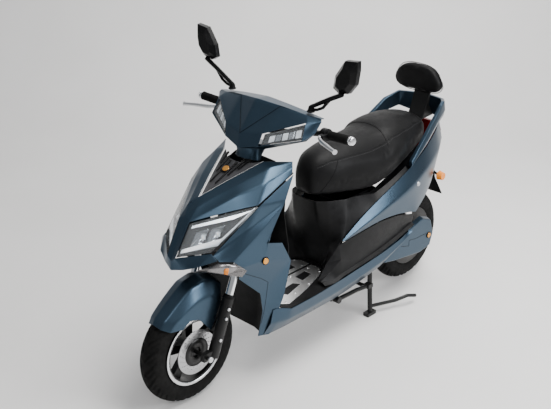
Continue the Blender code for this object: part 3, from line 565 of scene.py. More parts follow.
# ---------------------------------------------------------------- wheels
def tyre(name, node, body, centre):
    """A tyre with a block pattern of slanting grooves and a fine centre line."""
    across = []
    half = [(0.1282, 0.0355), (0.1355, 0.0362), (0.14, 0.0395), (0.15, 0.0428), (0.164, 0.044),
            (0.176, 0.0432),
            (0.184, 0.0414), (0.189, 0.0392), (0.1935, 0.0362), (0.1972, 0.0328), (0.2004, 0.029),
            (0.203, 0.025),
            (0.2053, 0.0208), (0.2072, 0.0164), (0.2086, 0.0118), (0.2095, 0.0072), (0.2099, 0.003),
            (0.21, 0.0)]
    across = half + [(r, -h) for r, h in reversed(half[:-1])]
    steps, repeat = 440, 22
    points = []
    for i in range(steps):
        turn = 2.0 * math.pi * i / steps
        for radius, height in across:
            reach = abs(height)
            phase = i * repeat / steps + (0.5 if height < 0 else 0.0) - reach * 26.0
            near = abs(phase % 1.0 - 0.5)
            short = abs((phase + 0.5) % 1.0 - 0.5)
            depth = 0.0
            if 0.006 < reach < 0.04 and radius > 0.186 and near < 0.110:
                depth = 0.0048
            if 0.019 < reach < 0.037 and radius > 0.186 and short < 0.075:
                depth = 0.0036
            if 0.0035 < reach < 0.006 and radius > 0.2:
                depth = 0.0016
            size = radius - depth
            points.append(centre + Vector((size * math.cos(turn), height, size * math.sin(turn))))
    count = len(across)
    faces = [(i * count + c, i * count + (c + 1) % count, ((i + 1) % steps) * count + (c + 1) % count,
              ((i + 1) % steps) * count + c) for i in range(steps) for c in range(count)]
    piece = solid(name, points, faces)
    even_shading(piece)
    add(piece, body, [node], "tyre")


tyre("tyre_front_look", "front_tyre", "front_wheel", FRONT_AXLE)
tyre("tyre_rear_look", "rear_tyre", "rear_wheel", REAR_AXLE)
keep("front_rim", "wheel_black", 0.0022, 25.0)
keep("rear_hub_motor", "wheel_black", 0.0015, 25.0)
for side, label in SIDES:
    lip = [(0.1225, 0.0424), (0.1345, 0.0432), (0.1358, 0.0424), (0.1345, 0.0446), (0.1225, 0.0438)]
    lip = [(radius, side * height) for radius, height in lip]
    add(turned(f"rim_lip_front_{label}", lip, FRONT_AXLE, 120), "front_wheel", material="machined")
    disc(f"axle_nut_{label}", FRONT_AXLE + Vector((0, side * 0.121, 0)), (0, side, 0), 0.0115, 0.009, "fork",
         "alloy", 0.35)

rotor = turned("rotor_look", [(0.088, -0.002), (0.088, 0.002), (0.056, 0.002), (0.056, -0.002)],
               ROTOR_CENTRE, 96)
shape = bmesh.new()
for i in range(60):
    turn = 2.0 * math.pi * i / 60.0
    reach = (0.06, 0.069, 0.078)[i % 3]
    spot = ROTOR_CENTRE + Vector((reach * math.cos(turn), 0.0, reach * math.sin(turn)))
    bmesh.ops.create_cone(shape, cap_ends=True, segments=10, radius1=HOLE_RADIUS, radius2=HOLE_RADIUS,
                          depth=0.02,
                          matrix=Matrix.Translation(spot) @ Matrix.Rotation(math.pi / 2.0, 4, "X"))
drill = linked(finish_mesh(shape, "rotor_holes"))
cutting = rotor.modifiers.new("holes", "BOOLEAN")
cutting.object = drill
cutting.solver = "EXACT"
cutting.operation = "DIFFERENCE"
drilled = bpy.data.meshes.new_from_object(as_drawn(rotor))
rotor.modifiers.clear()
rotor.data = drilled
bpy.data.objects.remove(drill, do_unlink=True)
even_shading(rotor)
rotor.data.set_sharp_from_angle(angle=math.radians(40.0))
add(rotor, "front_wheel", ["brake_disc"], "disc")
carrier = turned("rotor_carrier", [(0.0575, -0.0016), (0.0575, 0.0016), (0.02, 0.0018), (0.02, -0.0018)],
                 ROTOR_CENTRE, 48)
add(carrier, "front_wheel", material="wheel_black")

# ---------------------------------------------------------------- fork
keep("fork_lower", "black_metal", 0.0018)
keep("brake_caliper", "black_metal", 0.0022)
keep("steering_stem", "black_metal", 0.001)
for side, label in SIDES:
    y = side * LEG_SPREAD
    add(rod(f"stanchion_sleeve_{label}", on_leg(0.402, y), on_leg(0.545, y),
            ((0.0, 0.01535), (1.0, 0.01535))),
        "steering", material="chrome")
    add(rod(f"fork_seal_{label}", on_leg(0.404, y), on_leg(0.42, y),
            ((0.0, 0.0222), (0.55, 0.0226), (0.8, 0.0205), (1.0, 0.0164))), "fork",
            material="plastic")
    for index, (height, size) in enumerate(((0.372, 0.0065), (0.338, 0.006), (0.262, 0.0065))):
        spot = on_leg(height, y) + Vector((0.006, side * 0.0195, 0.002))
        disc(f"fork_bolt_{label}_{index}", spot, (0.15, side, 0.0), size, 0.006, "fork", "alloy",
             0.3)

FENDER = [
    (0.809, 0.000, 0.371), (0.802, 0.034, 0.36), (0.776, 0.056, 0.346), (0.727, 0.066, 0.341),
    (0.797, 0.000, 0.392), (0.786, 0.036, 0.386), (0.752, 0.06, 0.38), (0.712, 0.069, 0.356),
    (0.735, 0.000, 0.442), (0.728, 0.04, 0.432), (0.712, 0.064, 0.402), (0.694, 0.071, 0.366),
    (0.662, 0.000, 0.486), (0.66, 0.042, 0.474), (0.658, 0.067, 0.425), (0.656, 0.0725, 0.355),
    (0.6, 0.000, 0.496), (0.6, 0.043, 0.484), (0.608, 0.069, 0.42), (0.624, 0.0735, 0.318),
    (0.548, 0.000, 0.482), (0.552, 0.045, 0.47), (0.57, 0.07, 0.405), (0.604, 0.074, 0.29),
    (0.518, 0.000, 0.454), (0.523, 0.046, 0.444), (0.548, 0.071, 0.39), (0.584, 0.0745, 0.32),
]
fender = skin("fender_look", FENDER, grid_faces(7, 4), FRONT_AXLE, both=True, inner=0.85, rim=30.0, start=8.0,
              spread=22.0)
add(fender, "fork", ["front_fender"], "paint")

# ---------------------------------------------------------------- handlebar
keep("handlebar", "black_metal")
for side, label in SIDES:
    knurl = [(0.0, 0.0166)]
    for i in range(26):
        knurl += [(0.03 + 0.035 * i, 0.0166), (0.042 + 0.035 * i, 0.0153)]
    knurl += [(0.955, 0.017), (1.0, 0.017)]
    node, body = (("grip_left", "steering"), ("throttle_grip", "throttle"))[side < 0]
    grip = rod(f"grip_{label}_look", along_bar(0.28, side), along_bar(0.955, side), knurl, 28)
    grip.modifiers.clear()
    add(grip, body, [node], "grip")
    add(rod(f"bar_weight_{label}", along_bar(0.962, side), along_bar(1.075, side),
            ((0.0, 0.0154), (0.35, 0.0156), (0.42, 0.0128), (0.52, 0.0128), (0.58, 0.015), (0.85, 0.014),
             (1.0, 0.011))),
        "steering", material="chrome")
    keep(f"switch_pod_{label}", "plastic", 0.002)
    blade_line = lever_line(side)
    lever = tube(f"lever_blade_{label}", blade_line, 0.0085, 4)
    for point, size in zip(lever.data.splines[0].points, (0.74, 0.9, 0.86, 0.78, 1.1)):
        point.radius = size
    add(lever, f"lever_{label}", [f"brake_lever_{label}"], "alloy")
    hinge = blade_line[0]
    disc(f"lever_pin_{label}", hinge + Vector((0, 0, 0.0062)), (0, 0, 1), 0.0055, 0.003, f"lever_{label}",
         "alloy", 0.3)

COWL_INSIDE = (0.2, 0.0, 0.99)
COWL = [
    (0.38, 0.000, 0.918), (0.369, 0.000, 0.971), (0.284, 0.000, 1.079), (0.222, 0.000, 1.074),
    (0.364, 0.082, 0.938), (0.35, 0.092, 0.986), (0.262, 0.1, 1.068), (0.214, 0.1, 1.064),
    (0.294, 0.228, 0.976), (0.262, 0.218, 1.034), (0.24, 0.2, 1.052), (0.206, 0.2, 1.05),
    (0.24, 0.243, 0.994), (0.226, 0.258, 1.036), (0.219, 0.252, 1.046), (0.203, 0.25, 1.043),
    (0.345, 0.03, 0.912), (0.33, 0.09, 0.922), (0.262, 0.222, 0.966),
]
COWL_FACES = [
    (1, 5, 6), (1, 6, 2), (2, 6, 7, 3), (0, 4, 5, 1), (5, 9, 10, 6), (6, 10, 11, 7), (8, 12, 13, 9),
    (9, 13, 14, 10),
    (10, 14, 15, 11), (0, 16, 17, 4), (4, 17, 18, 8), (8, 18, 12),
]
add(skin("cowl_look", COWL, COWL_FACES, COWL_INSIDE, both=True, inner=1.0), "steering",
    ["handlebar_cowl"], "paint")
neck = []
for height, forward, wide, deep in ((0.866, 0.002, 0.052, 0.04), (0.885, 0.003, 0.05, 0.041),
                                    (0.905, 0.006, 0.06, 0.044), (0.928, 0.01, 0.082, 0.05)):
    middle = on_steer(height, forward)
    turns = [2.0 * math.pi * i / 36 for i in range(36)]
    neck.append([middle + Vector((deep * math.cos(t), wide * math.sin(t),
                                  0.012 * math.cos(t))) for t in turns])
add(bevelled(loft("neck_look", neck), 0.002), "steering", ["neck_cover"], "paint")
for side, label in SIDES:
    # A thin gloss black line along the cowl's crease, from the nose to the wing: painted shade where the wing
    # dips below the ridge.
    ridge = [Vector((0.3698, 0.0, 0.9715)), Vector((0.2625, side * 0.1, 1.0688)),
             Vector((0.2235, side * 0.2545, 1.0415))]
    strand(f"cowl_crease_shade_{label}", ridge, 0.0007, "steering", "gloss_black", 1)
    trim = [Vector((0.5745, 0.0, 0.788)), Vector((0.4632, side * 0.0515, 0.8392)),
            Vector((0.3525, side * 0.101, 0.8855))]
    strand(f"grille_trim_{label}", trim, 0.0008, "chassis", "alloy", 2)
keep("dashboard", "plastic", 0.003)
add(prism("dash_glass", [(0.2085, 0.095, 1.006), (0.1965, 0.1, 1.042), (0.1965, -0.1, 1.042),
                         (0.2085, -0.095, 1.006)], (-0.0012, 0.0, -0.0004), 0.0004), "steering",
    material="screen")

def badge(name, face_name, spot, normal, size, gap, body):
    """A plain emblem: a gloss black disc with a slightly smaller gold one on it."""
    normal = Vector(normal).normalized()
    disc(name, spot, normal, size[0], size[1], body, "gloss_black", 0.15)
    disc(face_name, Vector(spot) + normal * gap, normal, size[2], 0.002, body, "badge", 0.2)


LIGHT = ((0.356, 0.093, 0.944), (0.344, 0.099, 0.983), (0.263, 0.215, 1.026), (0.289, 0.226, 0.979))


def between(a, b, share):
    return Vector(a) + (Vector(b) - Vector(a)) * share


def thin_wall(piece):
    wall = piece.modifiers.new("wall", "SOLIDIFY")
    wall.thickness = 0.0012
    wall.offset = 0.0


def inset(outline, share, shift=(0.0, 0.0, 0.0)):
    middle = sum((Vector(p) for p in outline), Vector()) / len(outline)
    return [middle + (Vector(p) - middle) * share + Vector(shift) for p in outline]


def lamp(name, outline, depth, node, body, side, inside="housing"):
    """A lamp in an opening: dark housing behind, clear lens in front, rounded at the edges."""
    depth = Vector((depth[0], side * depth[1], depth[2]))
    rim = side_of(outline, side)
    back = [p + depth for p in inset(rim, 0.9)]
    count = len(rim)
    tub = solid(f"{name}_tub", rim + back,
                [(i, (i + 1) % count, count + (i + 1) % count, count + i) for i in range(count)]
                + [tuple(range(count, 2 * count))])
    thin_wall(tub)
    add(tub, body, material=inside)
    glass = prism(f"{name}_glass", inset(rim, 1.0, depth * 0.03), depth * 0.045, 0.0006)
    add(glass, body, [node], "lens")
    return rim, depth


for side, label in SIDES:
    rim, depth = lamp(f"cowl_lamp_{label}", LIGHT, (-0.018, 0.006, -0.002), f"cowl_light_{label}",
                      "steering", side)
    for i in range(5):
        low = between(rim[0], rim[3], 0.1 + 0.165 * i)
        low_end = between(rim[0], rim[3], 0.1 + 0.165 * i + 0.12)
        high = between(rim[1], rim[2], 0.1 + 0.165 * i)
        high_end = between(rim[1], rim[2], 0.1 + 0.165 * i + 0.12)
        cell = [between(low, high, 0.18), between(low_end, high_end, 0.18), between(low_end, high_end, 0.72),
                between(low, high, 0.72)]
        cell = [p + depth * 0.45 for p in cell]
        add(prism(f"cowl_led_{label}_{i}", cell, depth * 0.25, 0.0012), "steering",
            material="light_guide" if i % 2 == 0 else "reflector")

# Mirrors: faceted heads with their glass, and the stems' small braces.
for side, label in SIDES:
    keep(f"mirror_head_{label}", "gloss_black", 0.003, 18.0)
    head = [(0.32, 1.15), (0.352, 1.158), (0.381, 1.193), (0.389, 1.241), (0.388, 1.266), (0.341, 1.26),
            (0.302, 1.204), (0.295, 1.164)]
    add(prism(f"mirror_glass_{label}", [(0.1879, side * y, z) for y, z in head], (-0.0012, 0.0, 0.0), 0.0005),
        f"mirror_{label}", material="mirror")
    keep(f"mirror_stem_{label}", "gloss_black", 0.001)
    add(tube(f"stem_brace_{label}", [(0.2135, side * 0.196, 1.066), (0.2135, side * 0.226, 1.071),
                                      (0.2135, side * 0.252, 1.084), (0.2135, side * 0.285, 1.122)], 0.0056),
        f"mirror_arm_{label}", material="gloss_black")
    ring(f"stem_boot_{label}", (0.214, side * 0.198, 1.06), (0, 0, 1), 0.0125, 0.003,
         f"mirror_arm_{label}",
         "black_plastic", "plastic")

# ---------------------------------------------------------------- front panels
NOSE_INSIDE = (0.45, 0.0, 0.66)
NOSE = [
    (0.574, 0.000, 0.787), (0.641, 0.000, 0.735), (0.712, 0.000, 0.59), (0.717, 0.000, 0.552),
    (0.463, 0.052, 0.838), (0.352, 0.102, 0.884), (0.278, 0.172, 0.882),
    (0.6, 0.024, 0.768), (0.475, 0.086, 0.826), (0.36, 0.138, 0.872),
    (0.645, 0.026, 0.722), (0.712, 0.02, 0.604), (0.634, 0.122, 0.628), (0.457, 0.174, 0.77),
    (0.515, 0.128, 0.758), (0.7, 0.05, 0.564), (0.68, 0.098, 0.584), (0.628, 0.145, 0.606),
    (0.292, 0.184, 0.844), (0.287, 0.181, 0.863), (0.408, 0.159, 0.83), (0.498, 0.11, 0.8),
]
NOSE_FACES = [
    (0, 7, 1), (0, 4, 8, 7), (4, 5, 9, 8), (5, 6, 9), (1, 7, 10), (7, 8, 21, 10), (8, 9, 20, 21),
    (9, 6, 19, 20),
    (10, 21, 14), (21, 20, 13, 14), (20, 19, 18, 13),
    (1, 10, 11, 2), (2, 11, 15, 3), (11, 12, 16, 15), (12, 17, 16),
]
add(skin("nose_look", NOSE, NOSE_FACES, NOSE_INSIDE, both=True, inner=1.0), "chassis",
    ["nose_fairing"], "paint")
keep("grille_panel", "grille", 0.0008)
for side, label in SIDES:
    for i, (front, back, spread) in enumerate(((0.505, 0.4, 0.016), (0.46, 0.385, 0.036),
                                               (0.425, 0.372, 0.056))):
        low = Vector((front, side * spread * 0.8, 0.0))
        high = Vector((back, side * spread, 0.0))
        for p in (low, high):
            p.z = 0.79 + (0.563 - p.x) * 0.485 + 0.0012
        wide = Vector((0.0, 0.0042, 0.0))
        add(prism(f"grille_rib_{label}_{i}", [low - wide * 0.6, low + wide * 0.6, high + wide, high - wide],
                  (0.002, 0.0, 0.0046), 0.001), "chassis", material="gloss_black")
badge("badge_front", "badge_front_face", (0.44, 0.0, 0.852), (0.436, 0.0, 0.9), (0.0165, 0.0055, 0.013),
      0.005, "chassis")

APRON = [
    (0.289, 0.187, 0.839), (0.452, 0.178, 0.7655), (0.63, 0.1265, 0.621), (0.622, 0.15, 0.6025),
    (0.575, 0.172, 0.592), (0.345, 0.2, 0.757), (0.5, 0.17, 0.69), (0.462, 0.192, 0.672),
    (0.387, 0.2, 0.7), (0.435, 0.2, 0.625), (0.36, 0.2, 0.6), (0.313, 0.2, 0.511),
    (0.338, 0.19, 0.372), (0.352, 0.18, 0.325), (0.372, 0.145, 0.2), (0.415, 0.128, 0.203),
    (0.416, 0.155, 0.322), (0.437, 0.164, 0.408), (0.544, 0.164, 0.51), (0.545, 0.18, 0.562),
    (0.445, 0.197, 0.56),
]
APRON_FACES = [
    (0, 1, 5), (1, 6, 5), (1, 2, 6), (2, 3, 4, 6), (6, 4, 7), (6, 7, 5), (7, 8, 5), (7, 4, 20), (7, 20, 9, 8),
    (4, 19, 20), (19, 18, 20), (18, 17, 11, 20), (20, 11, 10, 9), (17, 16, 12, 11), (16, 15, 14, 13),
    (16, 13, 12),
]
APRON_GAPS = (((0.535, 0.534), (0.445, 0.479), (0.408, 0.449), (0.41, 0.363), (0.413, 0.262)),)
HEAD = ((0.645, 0.029, 0.717), (0.515, 0.129, 0.753), (0.461, 0.1725, 0.765),
        (0.632, 0.119, 0.631),
        (0.709, 0.024, 0.608))
SIGNAL = ((0.668, 0.088, 0.564), (0.62, 0.142, 0.592), (0.578, 0.164, 0.583), (0.548, 0.172, 0.554),
          (0.56, 0.158, 0.526), (0.615, 0.122, 0.545))
for side, label in SIDES:
    apron = skin(f"apron_{label}_look", side_of(APRON, side), APRON_FACES, (0.45, 0.0, 0.55), inner=1.0)
    add(apron, "chassis", [f"apron_{label}"], "paint")
    apron_skin = surface_of(apron)
    for index, route in enumerate(APRON_GAPS):
        route = traced(apron_skin, [(x, side * 0.35, z) for x, z in route], (0.0, -side, 0.0), 0.0)
        if len(route) > 1:
            strand(f"apron_gap_{label}_{index}", route, 0.0009, "chassis", "gloss_black", 1)
    rim, depth = lamp(f"head_lamp_{label}", HEAD, (-0.04, 0.016, -0.004), f"headlight_{label}", "chassis",
                      side)
    low_in, low_out, tip = rim[4], rim[3], rim[2]
    strip = [between(low_in, rim[0], 0.1), between(low_out, rim[1], 0.16), between(tip, rim[1], 0.1)]
    strip_edge = [between(low_in, rim[0], 0.22), between(low_out, rim[1], 0.34), between(tip, rim[1], 0.22)]
    guide = [p + depth * 0.16 for p in strip] + [p + depth * 0.16 for p in reversed(strip_edge)]
    add(prism(f"day_light_{label}", guide, depth * 0.16, 0.0015), "chassis", material="light_guide")
    brow = [between(rim[0], rim[4], 0.08), between(rim[1], rim[3], 0.08), between(tip, rim[3], 0.04),
            between(rim[1], rim[3], 0.2), between(rim[0], rim[4], 0.17)]
    add(prism(f"brow_strip_{label}", [p + depth * 0.2 for p in brow], depth * 0.1, 0.001), "chassis",
        material="reflector")
    for i, (start, end) in enumerate(((0.1, 0.4), (0.46, 0.76))):
        a, b = between(rim[0], rim[1], start), between(rim[0], rim[1], end)
        c, d = between(rim[4], rim[3], end), between(rim[4], rim[3], start)
        cell = [between(a, d, 0.3), between(b, c, 0.3), between(b, c, 0.72), between(a, d, 0.72)]
        cup = [p + depth * 0.55 for p in cell]
        bowl = [p + depth * 0.98 for p in inset(cell, 0.55)]
        piece = solid(f"lamp_cup_{label}_{i}", cup + bowl,
                      [(k, (k + 1) % 4, 4 + (k + 1) % 4, 4 + k) for k in range(4)]
                      + [(4, 5, 6, 7)])
        thin_wall(piece)
        add(piece, "chassis", material="reflector")
        middle = sum(bowl, Vector()) / 4.0
        disc(f"lamp_bulb_{label}_{i}", middle, -depth, 0.01, 0.012, "chassis", "light_guide",
             0.55)
    rim, depth = lamp(f"turn_lamp_{label}", SIGNAL, (-0.022, 0.022, -0.006), f"turn_signal_{label}",
                      "chassis", side,
                      "tub_grey")
    middle = sum(rim, Vector()) / len(rim)
    disc(f"turn_bulb_{label}", middle + depth * 0.62, -depth, 0.0165, 0.016, "chassis",
         "amber", 0.5)
    for i in range(4):
        a, b = between(rim[0], rim[5], 0.2 + 0.2 * i), between(rim[2], rim[3], 0.2 + 0.2 * i)
        flute = [a + depth * 0.5, b + depth * 0.5, b + depth * 0.62, a + depth * 0.62]
        add(prism(f"turn_flute_{label}_{i}", flute, (0.0, 0.0, 0.0025), 0.0005), "chassis",
            material="reflector")
    badge(f"apron_badge_{label}", f"apron_badge_face_{label}", (0.445, side * 0.1968, 0.558),
          (0.15, side, 0.1),
          (0.015, 0.0045, 0.0115), 0.004, "chassis")
    seam = [(0.287, side * 0.1815, 0.8435), (0.34, side * 0.1775, 0.821), (0.4, side * 0.1735, 0.7935),
            (0.454, side * 0.171, 0.769)]
    strand(f"nose_seam_{label}", seam, 0.0032, "chassis", "plastic", 2)
keep("inner_leg_shield", "panel_black", 0.0012)
keep("wheel_arch_liner", "plastic", 0.001)

# ---------------------------------------------------------------- floor and sides
keep("footboard", "panel_black", 0.0008)
SKIRT_ROWS = (
    (0.378, 0.172, 0.318, 0.136, 0.202), (0.349, 0.181, 0.319, 0.144, 0.2),
    (0.3, 0.194, 0.3, 0.15, 0.202),
    (0.16, 0.196, 0.302, 0.158, 0.207), (0.000, 0.19, 0.306, 0.164, 0.214),
    (-0.125, 0.184, 0.312, 0.166, 0.228),
    (-0.275, 0.186, 0.325, 0.166, 0.252), (-0.4, 0.184, 0.348, 0.168, 0.3),
    (-0.462, 0.181, 0.366, 0.174, 0.35),
)
SKIRT = []
for x, y_high, z_high, y_low, z_low in SKIRT_ROWS:
    lean = 0.018 if x > 0.34 else 0.0
    SKIRT += [(x, y_high, z_high), (x + lean * 0.4, (y_high + y_low) / 2 + 0.012, (z_high + z_low) / 2),
              (x + lean, y_low, z_low), (x + lean, y_low - 0.026, z_low - 0.004)]
TOP = ((-0.022, 0.166, 0.462), (-0.14, 0.168, 0.528), (-0.25, 0.17, 0.572), (-0.38, 0.168, 0.618),
       (-0.45, 0.164, 0.64), (-0.6, 0.14, 0.69), (-0.73, 0.098, 0.73), (-0.8, 0.06, 0.745))
MIDDLE = ((-0.024, 0.17, 0.458), (-0.142, 0.186, 0.498), (-0.252, 0.194, 0.528), (-0.382, 0.194, 0.556),
          (-0.452, 0.19, 0.57), (-0.602, 0.164, 0.61), (-0.735, 0.118, 0.64), (-0.812, 0.072, 0.66))
LOW = ((-0.026, 0.167, 0.454), (-0.142, 0.176, 0.47), (-0.252, 0.182, 0.482), (-0.382, 0.18, 0.468),
       (-0.505, 0.17, 0.43), (-0.6, 0.15, 0.468), (-0.7, 0.112, 0.508), (-0.762, 0.075, 0.53))
for side, label in SIDES:
    add(skin(f"skirt_{label}_look", side_of(SKIRT, side), grid_faces(9, 4), (0.0, 0.0, 0.27)), "chassis",
        [f"side_skirt_{label}"], "paint")
    add(skin(f"side_panel_{label}_look", side_of(TOP + MIDDLE + LOW, side), grid_faces(3, 8),
             (-0.4, 0.0, 0.55),
             inner=0.8, start=6.0, spread=20.0), "chassis", [f"side_panel_{label}"], "paint")
    keep(f"lower_flank_{label}", "panel_black", 0.0012)
    keep(f"tread_plate_{label}", "plate", 0.0006)
    for i, (x, y) in enumerate(((0.285, 0.018), (0.278, 0.142), (0.2, 0.12), (0.118, 0.016),
                                (0.012, 0.016),
                                (0.11, 0.108), (0.002, 0.07))):
        disc(f"tread_screw_{label}_{i}", (x, side * y, TREAD_HEIGHT), (0, 0, 1), 0.0045, 0.0022, "chassis",
             "alloy")
    disc(f"panel_lock_{label}", (-0.492, side * 0.181, 0.566), (0.1, side, 0.1), 0.0095, 0.006, "chassis",
         "alloy")
FRONT = [
    (0.03, 0.000, 0.612), (0.026, 0.06, 0.612), (-0.008, 0.094, 0.611), (-0.09, 0.125, 0.606),
    (0.02, 0.000, 0.54), (0.016, 0.064, 0.54), (-0.014, 0.104, 0.538), (-0.062, 0.148, 0.53),
    (-0.004, 0.000, 0.44), (-0.008, 0.066, 0.442), (-0.018, 0.108, 0.448), (-0.027, 0.158, 0.459),
    (-0.026, 0.000, 0.36), (-0.028, 0.056, 0.36), (-0.016, 0.094, 0.362), (0.024, 0.129, 0.37),
    (-0.04, 0.000, 0.303), (-0.04, 0.04, 0.303), (-0.02, 0.072, 0.303), (0.04, 0.104, 0.303),
    (-0.14, 0.124, 0.602), (-0.25, 0.138, 0.585), (-0.36, 0.146, 0.617), (-0.448, 0.145, 0.65),
    (-0.14, 0.162, 0.524), (-0.25, 0.164, 0.568), (-0.38, 0.162, 0.614), (-0.448, 0.158, 0.635),
]
FRONT_FACES = grid_faces(5, 4) + [(3, 20, 24, 7), (7, 24, 11), (20, 21, 25, 24), (21, 22, 26, 25),
                                  (22, 23, 27, 26)]
skirt_front = skin("seat_skirt_look", FRONT, FRONT_FACES, (-0.3, 0.0, 0.45), both=True, inner=0.85, start=6.0,
                   spread=20.0)
add(skirt_front, "chassis", ["seat_skirt"], "panel_black")
HIGH = ((-0.18, 0.116, 0.596), (-0.25, 0.118, 0.584), (-0.33, 0.119, 0.612), (-0.38, 0.119, 0.63),
        (-0.45, 0.117, 0.654), (-0.54, 0.112, 0.684), (-0.61, 0.104, 0.706), (-0.65, 0.096, 0.716))
DEEP = ((-0.18, 0.116, 0.5), (-0.25, 0.118, 0.5), (-0.33, 0.119, 0.505), (-0.38, 0.119, 0.51),
        (-0.45, 0.117, 0.52), (-0.54, 0.112, 0.545), (-0.61, 0.104, 0.59), (-0.65, 0.096, 0.62))
for side, label in SIDES:
    add(skin(f"under_seat_wall_{label}", side_of(HIGH + DEEP, side), grid_faces(2, 8), (-0.4, 0.0, 0.55),
             both=True),
        "chassis", material="plastic")
keep("storage_bucket", "plastic")
keep("main_frame", "black_metal")

# ---------------------------------------------------------------- seat and backrest
def tight(outline, share=0.16):
    """The closed outline with points beside each corner, so that smoothing rounds only the corners."""
    found = []
    for i, point in enumerate(outline):
        before, after = outline[i - 1], outline[(i + 1) % len(outline)]
        found.append(tuple(p + (b - p) * share for p, b in zip(point, before)))
        found.append(tuple(p + (a - p) * share for p, a in zip(point, after)))
    return found


SECTIONS = ((0.042, 0.03, 0.648, 0.705), (0.032, 0.05, 0.634, 0.748), (0.004, 0.07, 0.626, 0.782),
            (-0.044, 0.094, 0.616, 0.802), (-0.14, 0.122, 0.606, 0.808), (-0.25, 0.143, 0.59, 0.809),
            (-0.33, 0.15, 0.614, 0.81), (-0.358, 0.151, 0.622, 0.818), (-0.38, 0.151, 0.63, 0.83),
            (-0.45, 0.148, 0.655, 0.836), (-0.54, 0.136, 0.686, 0.833), (-0.62, 0.118, 0.712, 0.822),
            (-0.655, 0.09, 0.726, 0.808), (-0.668, 0.05, 0.742, 0.788))
SECTION_SHAPE = [(0.86, 0.0), (0.985, 0.06), (1.0, 0.3), (0.96, 0.58), (0.82, 0.8), (0.54, 0.93),
                 (0.28, 0.985),
                 (0.0, 1.0)]
SECTION_SHAPE += [(-w, h) for w, h in reversed(SECTION_SHAPE[:-1])]
WELT_SHARE = 0.80
rings = [[(x, half * w, low + (high - low) * h) for w, h in SECTION_SHAPE] for x, half, low, high in SECTIONS]
seat = loft("seat_look", rings)
subdivided(seat, 3)
plumped(seat, 0.0055, 0.006)
add(seat, "seat", ["seat_cushion"], "leather")
seat_skin = surface_of(seat)
for side, label in SIDES:
    welt = [(x, side * 0.3, low + (high - low) * WELT_SHARE) for x, half, low, high in SECTIONS[2:-1]]
    welt = traced(seat_skin, welt, (0.0, -side, 0.0))
    strand(f"seat_welt_{label}", welt, 0.0014, "seat", "leather")
    sewn = [(x, side * 0.3, low + (high - low) * WELT_SHARE - 0.007) for x, half, low,
            high in SECTIONS[2:-1]]
    stitches(f"seat_stitches_{label}", traced(seat_skin, sewn, (0.0, -side, 0.0)), 0.0006, "seat",
             "thread")
    corner = [(0.000 - 0.02 * i, side * 0.3, 0.642 + 0.03 * i) for i in range(5)]
    add(tube(f"seat_corner_{label}", traced(seat_skin, corner, (0.0, -side, 0.0)), 0.0012), "seat",
        material="leather")
over = [(-0.362 + 0.9 * y * y, y, 1.0) for y in (i * 0.0125 - 0.125 for i in range(21))]
add(tube("seat_step_welt", traced(seat_skin, over, (0.0, 0.0, -1.0)), 0.0014), "seat",
    material="leather")
back = [(x - 0.008, y, z) for x, y, z in over]
stitches("seat_step_stitches", traced(seat_skin, back, (0.0, 0.0, -1.0)), 0.0006, "seat",
         "thread")

PAD = [(0.000, 1.01), (0.05, 1.008), (0.094, 0.991), (0.128, 0.932), (0.112, 0.899), (0.06, 0.886),
       (0.0, 0.885)]
outline = tight(PAD + [(-y, z) for y, z in reversed(PAD[1:-1])], 0.22)
rings = []
for x, share in ((-0.731, 0.8), (-0.7315, 0.9), (-0.725, 0.985), (-0.71, 1.0), (-0.696, 0.985),
                 (-0.687, 0.9),
                 (-0.685, 0.76)):
    rings.append([(x + 0.05 * (z - 0.95), y * share, 0.947 + (z - 0.947) * share) for y, z in outline])
pad = loft("backrest_look", rings)
subdivided(pad, 3)
plumped(pad, 0.004, 0.004)
add(pad, "chassis", ["backrest_pad"], "leather")
hem = [Vector((-0.7105 + 0.05 * (z - 0.95), y * 1.004, 0.947 + (z - 0.947) * 1.006)) for y, z in outline]
piping = tube("backrest_piping", hem, 0.0016)
piping.data.splines[0].use_cyclic_u = True
add(piping, "chassis", material="leather")
keep("backrest_bracket", "black_metal", 0.003)

# ---------------------------------------------------------------- tail and rear
keep("grab_rail", "paint", 0.003, 20.0)
keep("tail_light", "red", 0.003)
keep("rear_mudflap", "plastic", 0.001)
for side, label in SIDES:
    keep(f"rear_signal_{label}", "amber", 0.0025)
keep("swingarm", "black_metal", 0.001)
keep("swingarm_cover", "paint", 0.005, 25.0)
COVER_LINE = ((-0.47, 0.262), (-0.525, 0.245), (-0.525, 0.272), (-0.576, 0.264), (-0.65, 0.262))
cover_skin = surface_of(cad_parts["swingarm_cover"])
groove = traced(cover_skin, [(x, 0.25, z) for x, z in COVER_LINE], (0.0, -1.0, 0.0), 0.0)
strand("cover_groove", groove, 0.001, "rear_arm", "gloss_black", 1)
badge("cover_badge", "cover_badge_face", (-0.672, 0.131, 0.248), (0.0, 1.0, 0.0), (0.015, 0.0045, 0.0115),
      0.004,
      "rear_arm")
keep("rear_shock", "chrome", 0.001)
keep("centre_stand", "black_metal", 0.001)
keep("side_stand", "black_metal", 0.0015)

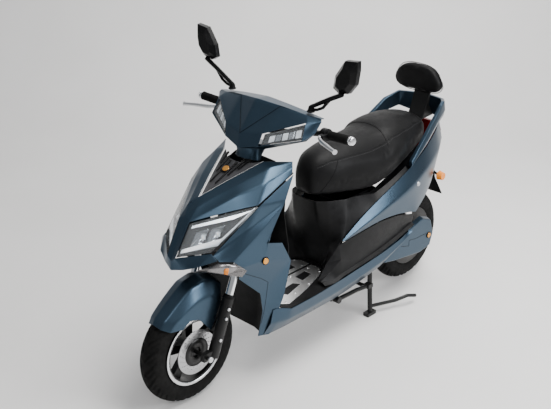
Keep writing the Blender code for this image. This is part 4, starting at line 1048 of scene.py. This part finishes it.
# ---------------------------------------------------------------- studio
def backdrop():
    """A floor that curves up into a wall behind the scooter."""
    rows = []
    toward = Vector((math.cos(VIEW_YAW), math.sin(VIEW_YAW), 0.0))
    across = Vector((toward.y, -toward.x, 0.0))
    bend = 1.2
    profile = [(-6.0, 0.0), (0.0, 0.0), (2.2, 0.0)]
    for i in range(1, 13):
        turn = math.pi / 2.0 * i / 12.0
        profile.append((2.2 + bend * math.sin(turn), bend - bend * math.cos(turn)))
    profile.append((2.2 + bend, 6.0))
    for reach, height in profile:
        for wide in (-7.0, 7.0):
            rows.append(toward * reach + across * wide + Vector((0.0, 0.0, height - 0.0008)))
    made = linked(solid("studio_floor", rows, grid_faces(len(profile), 2), (0.5, 0.5, 50.0)))
    r = Recipe("studio_pale", (0.8, 0.79, 0.78), 0.5)
    r.colour(r.ramp(r.noise(1.5), (0.79, 0.78, 0.77), (0.83, 0.82, 0.81)))
    made.data.materials.append(r.material)


def area_light(name, place, target, size, power, colour=(1.0, 1.0, 1.0)):
    data = bpy.data.lights.new(name, "AREA")
    data.shape = "RECTANGLE"
    data.size, data.size_y = size
    data.energy = power
    data.color = colour
    made = bpy.data.objects.new(name, data)
    made.location = place
    made.rotation_euler = (Vector(target) - Vector(place)).to_track_quat("-Z", "Y").to_euler()
    linked(made)


backdrop()
area_light("soft_top", (-0.5, 0.9, 3.3), (0.0, 0.1, 0.3), (3.0, 1.4), 175.0, (1.0, 0.99, 0.97))
area_light("soft_left", (-1.2, 3.8, 2.2), (-0.2, 0.0, 0.4), (2.2, 1.4), 130.0, (0.97, 0.98, 1.0))
area_light("soft_front", (3.0, 2.9, 3.4), (0.3, 0.0, 0.4), (1.4, 1.4), 40.0)
area_light("floor_glow", (-2.6, -2.6, 3.0), (-2.2, -2.2, 0.0), (3.5, 3.5), 70.0)
world = bpy.data.worlds.new("studio_air")
world.use_nodes = True
world.node_tree.nodes["Background"].inputs["Color"].default_value = (0.8, 0.82, 0.85, 1.0)
world.node_tree.nodes["Background"].inputs["Strength"].default_value = 0.42
bpy.context.scene.world = world

lens = bpy.data.cameras.new("view_camera")
lens.sensor_width = 36.0
lens.lens = 62.27
camera = bpy.data.objects.new("view_camera", lens)
camera.location = (2.596, 2.303, 2.117)
flat = math.cos(VIEW_PITCH)
look = Vector((flat * math.cos(VIEW_YAW), flat * math.sin(VIEW_YAW), -math.sin(VIEW_PITCH)))
camera.rotation_euler = look.to_track_quat("-Z", "Y").to_euler()
linked(camera)
bpy.context.scene.camera = camera
